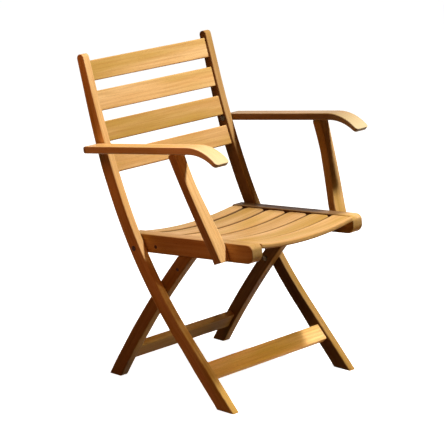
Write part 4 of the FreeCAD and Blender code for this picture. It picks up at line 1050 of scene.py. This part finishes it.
brass, plug_wood = make_brass(), make_plug_wood()
for piece in hardware:
    piece.data.materials.append(brass)
for piece in plugs:
    piece.data.materials.append(plug_wood)
for node in ("arm_hinge_left", "arm_hinge_right", "arm_hinge_pin_left", "arm_hinge_pin_right"):
    metal_node = frame["nodes"][node]
    metal_node.data.materials.clear()
    metal_node.data.materials.append(brass)
print("brass on", len(hardware), "pieces")

# %% [markdown]
# ## Studio
# The photograph is a cut-out on white, taken with a long lens, and no floor is visible. The
# camera's place, direction and lens are the ones for which the frame's posts, feet, seat and
# arms fall where the photograph has them.

# %% Camera
CAMERA = Vector((-4.4923, -4.0502, 2.0207))
LOOK = Vector((0.71762, 0.64800, -0.25563))
SENSOR, FOCAL_PIXELS, FRAME_PIXELS = 36.0, 2319.24, 444
camera_data = bpy.data.cameras.new("camera")
camera_data.sensor_width = SENSOR
camera_data.lens = SENSOR * FOCAL_PIXELS / FRAME_PIXELS
camera = bpy.data.objects.new("camera", camera_data)
camera.location = CAMERA
camera.rotation_euler = LOOK.to_track_quat("-Z", "Y").to_euler()
camera_data.clip_end = 100
scene.collection.objects.link(camera)
scene.camera = camera
print("lens", round(camera_data.lens, 1), "mm")

# %% [markdown]
# The world is white to the camera and dim to the chair, so the lamps do the lighting. The
# main lamp is small and near: above, in front and to the chair's left, which gives the sharp
# wedge of shade on one arm post and leaves the other dark. A weak warm lamp fills the camera's
# side, a low narrow one reaches the front stretcher, and one behind is for views of the back.

# %% Lamps and world
scene.view_settings.view_transform = "Standard"


def add_lamp(name, place, aim, size, watts, color, beam=180):
    """A square lamp at a place that faces an aim, with a beam of so many degrees."""
    data = bpy.data.lights.new(name, "AREA")
    data.spread = math.radians(beam)
    data.shape = "SQUARE"
    data.size = size
    data.energy = watts
    data.color = color
    lamp = bpy.data.objects.new(name, data)
    lamp.location = place
    lamp.rotation_euler = (Vector(aim) - Vector(place)).to_track_quat("-Z", "Y").to_euler()
    scene.collection.objects.link(lamp)
    return lamp


lamps = [
    add_lamp("key", (0.72, -0.86, 2.5), (0, 0, 0.4), 0.25, 72, (1.0, 0.98, 0.94)),
    add_lamp("fill", (-1.2, 0.1, 1.5), (-0.2, 0, 0.5), 0.8, 4.3, (1.0, 0.31, 0.07)),
    add_lamp("rear", (0.4, 3.2, 0.7), (0, 0.1, 0.5), 1.5, 34, (1.0, 0.92, 0.82)),
    add_lamp("card", (0.55, -1.10, 0.30), (-0.02, -0.22, 0.04), 0.3, 0.6, (1.0, 0.8, 0.4), 50),
]
world = bpy.data.worlds.new("studio")
scene.world = world
world.use_nodes = True
world_tree = world.node_tree
world_tree.nodes.clear()
sky = add(world_tree, "ShaderNodeBackground", Color=(1.0, 0.50, 0.25, 1), Strength=0.02)
white = add(world_tree, "ShaderNodeBackground", Color=(1, 1, 1, 1), Strength=1.0)


def choose_by_ray(tree, bounced, seen, output):
    """One shader for bounced light, and one for what the camera sees, also by reflection."""
    path = tree.nodes.new("ShaderNodeLightPath").outputs
    by_eye = math_node(tree, "MAXIMUM", path["Is Camera Ray"], path["Is Glossy Ray"])
    by_eye = math_node(tree, "MAXIMUM", by_eye, path["Is Transmission Ray"])
    choose = tree.nodes.new("ShaderNodeMixShader")
    for number, value in enumerate((by_eye, bounced.outputs[0], seen.outputs[0])):
        feed(tree, choose.inputs[number], value)
    feed(tree, tree.nodes.new(output).inputs[0], choose.outputs[0])


choose_by_ray(world_tree, sky, white, "ShaderNodeOutputWorld")
print(len(lamps), "lamps")

# %% [markdown]
# The floor is a wide flat sheet. To the camera it is matte with a white glow, so the page
# behind the chair is white while a faint shadow stays under it. Light that bounces off it
# meets a dim brown sheet, since the photograph's legs are not lit from below.

# %% Floor
FLOOR_HALF, FLOOR_DROP = 30.0, 0.0005
corner = np.array([(-1, -1, 0), (1, -1, 0), (1, 1, 0), (-1, 1, 0)], float) * FLOOR_HALF
corner[:, 2] = -FLOOR_DROP
floor_mesh = bpy.data.meshes.new("floor")
floor_mesh.from_pydata(corner.tolist(), [], [(0, 1, 2, 3)])
floor = bpy.data.objects.new("floor", floor_mesh)
scene.collection.objects.link(floor)
floor_material = bpy.data.materials.new("floor_white")
floor_material.use_nodes = True
floor_tree = floor_material.node_tree
floor_tree.nodes.clear()
matte = add(floor_tree, "ShaderNodeBsdfDiffuse", Color=(0.88, 0.88, 0.88, 1))
glow = add(floor_tree, "ShaderNodeEmission", Color=(1, 1, 1, 1), Strength=0.98)
both = floor_tree.nodes.new("ShaderNodeAddShader")
feed(floor_tree, both.inputs[0], matte.outputs[0])
feed(floor_tree, both.inputs[1], glow.outputs[0])
dim = add(floor_tree, "ShaderNodeBsdfDiffuse", Color=(0.16, 0.08, 0.04, 1))
choose_by_ray(floor_tree, dim, both, "ShaderNodeOutputMaterial")
floor.data.materials.append(floor_material)
print("floor", FLOOR_HALF * 2, "m across")

# %% Finish
import json
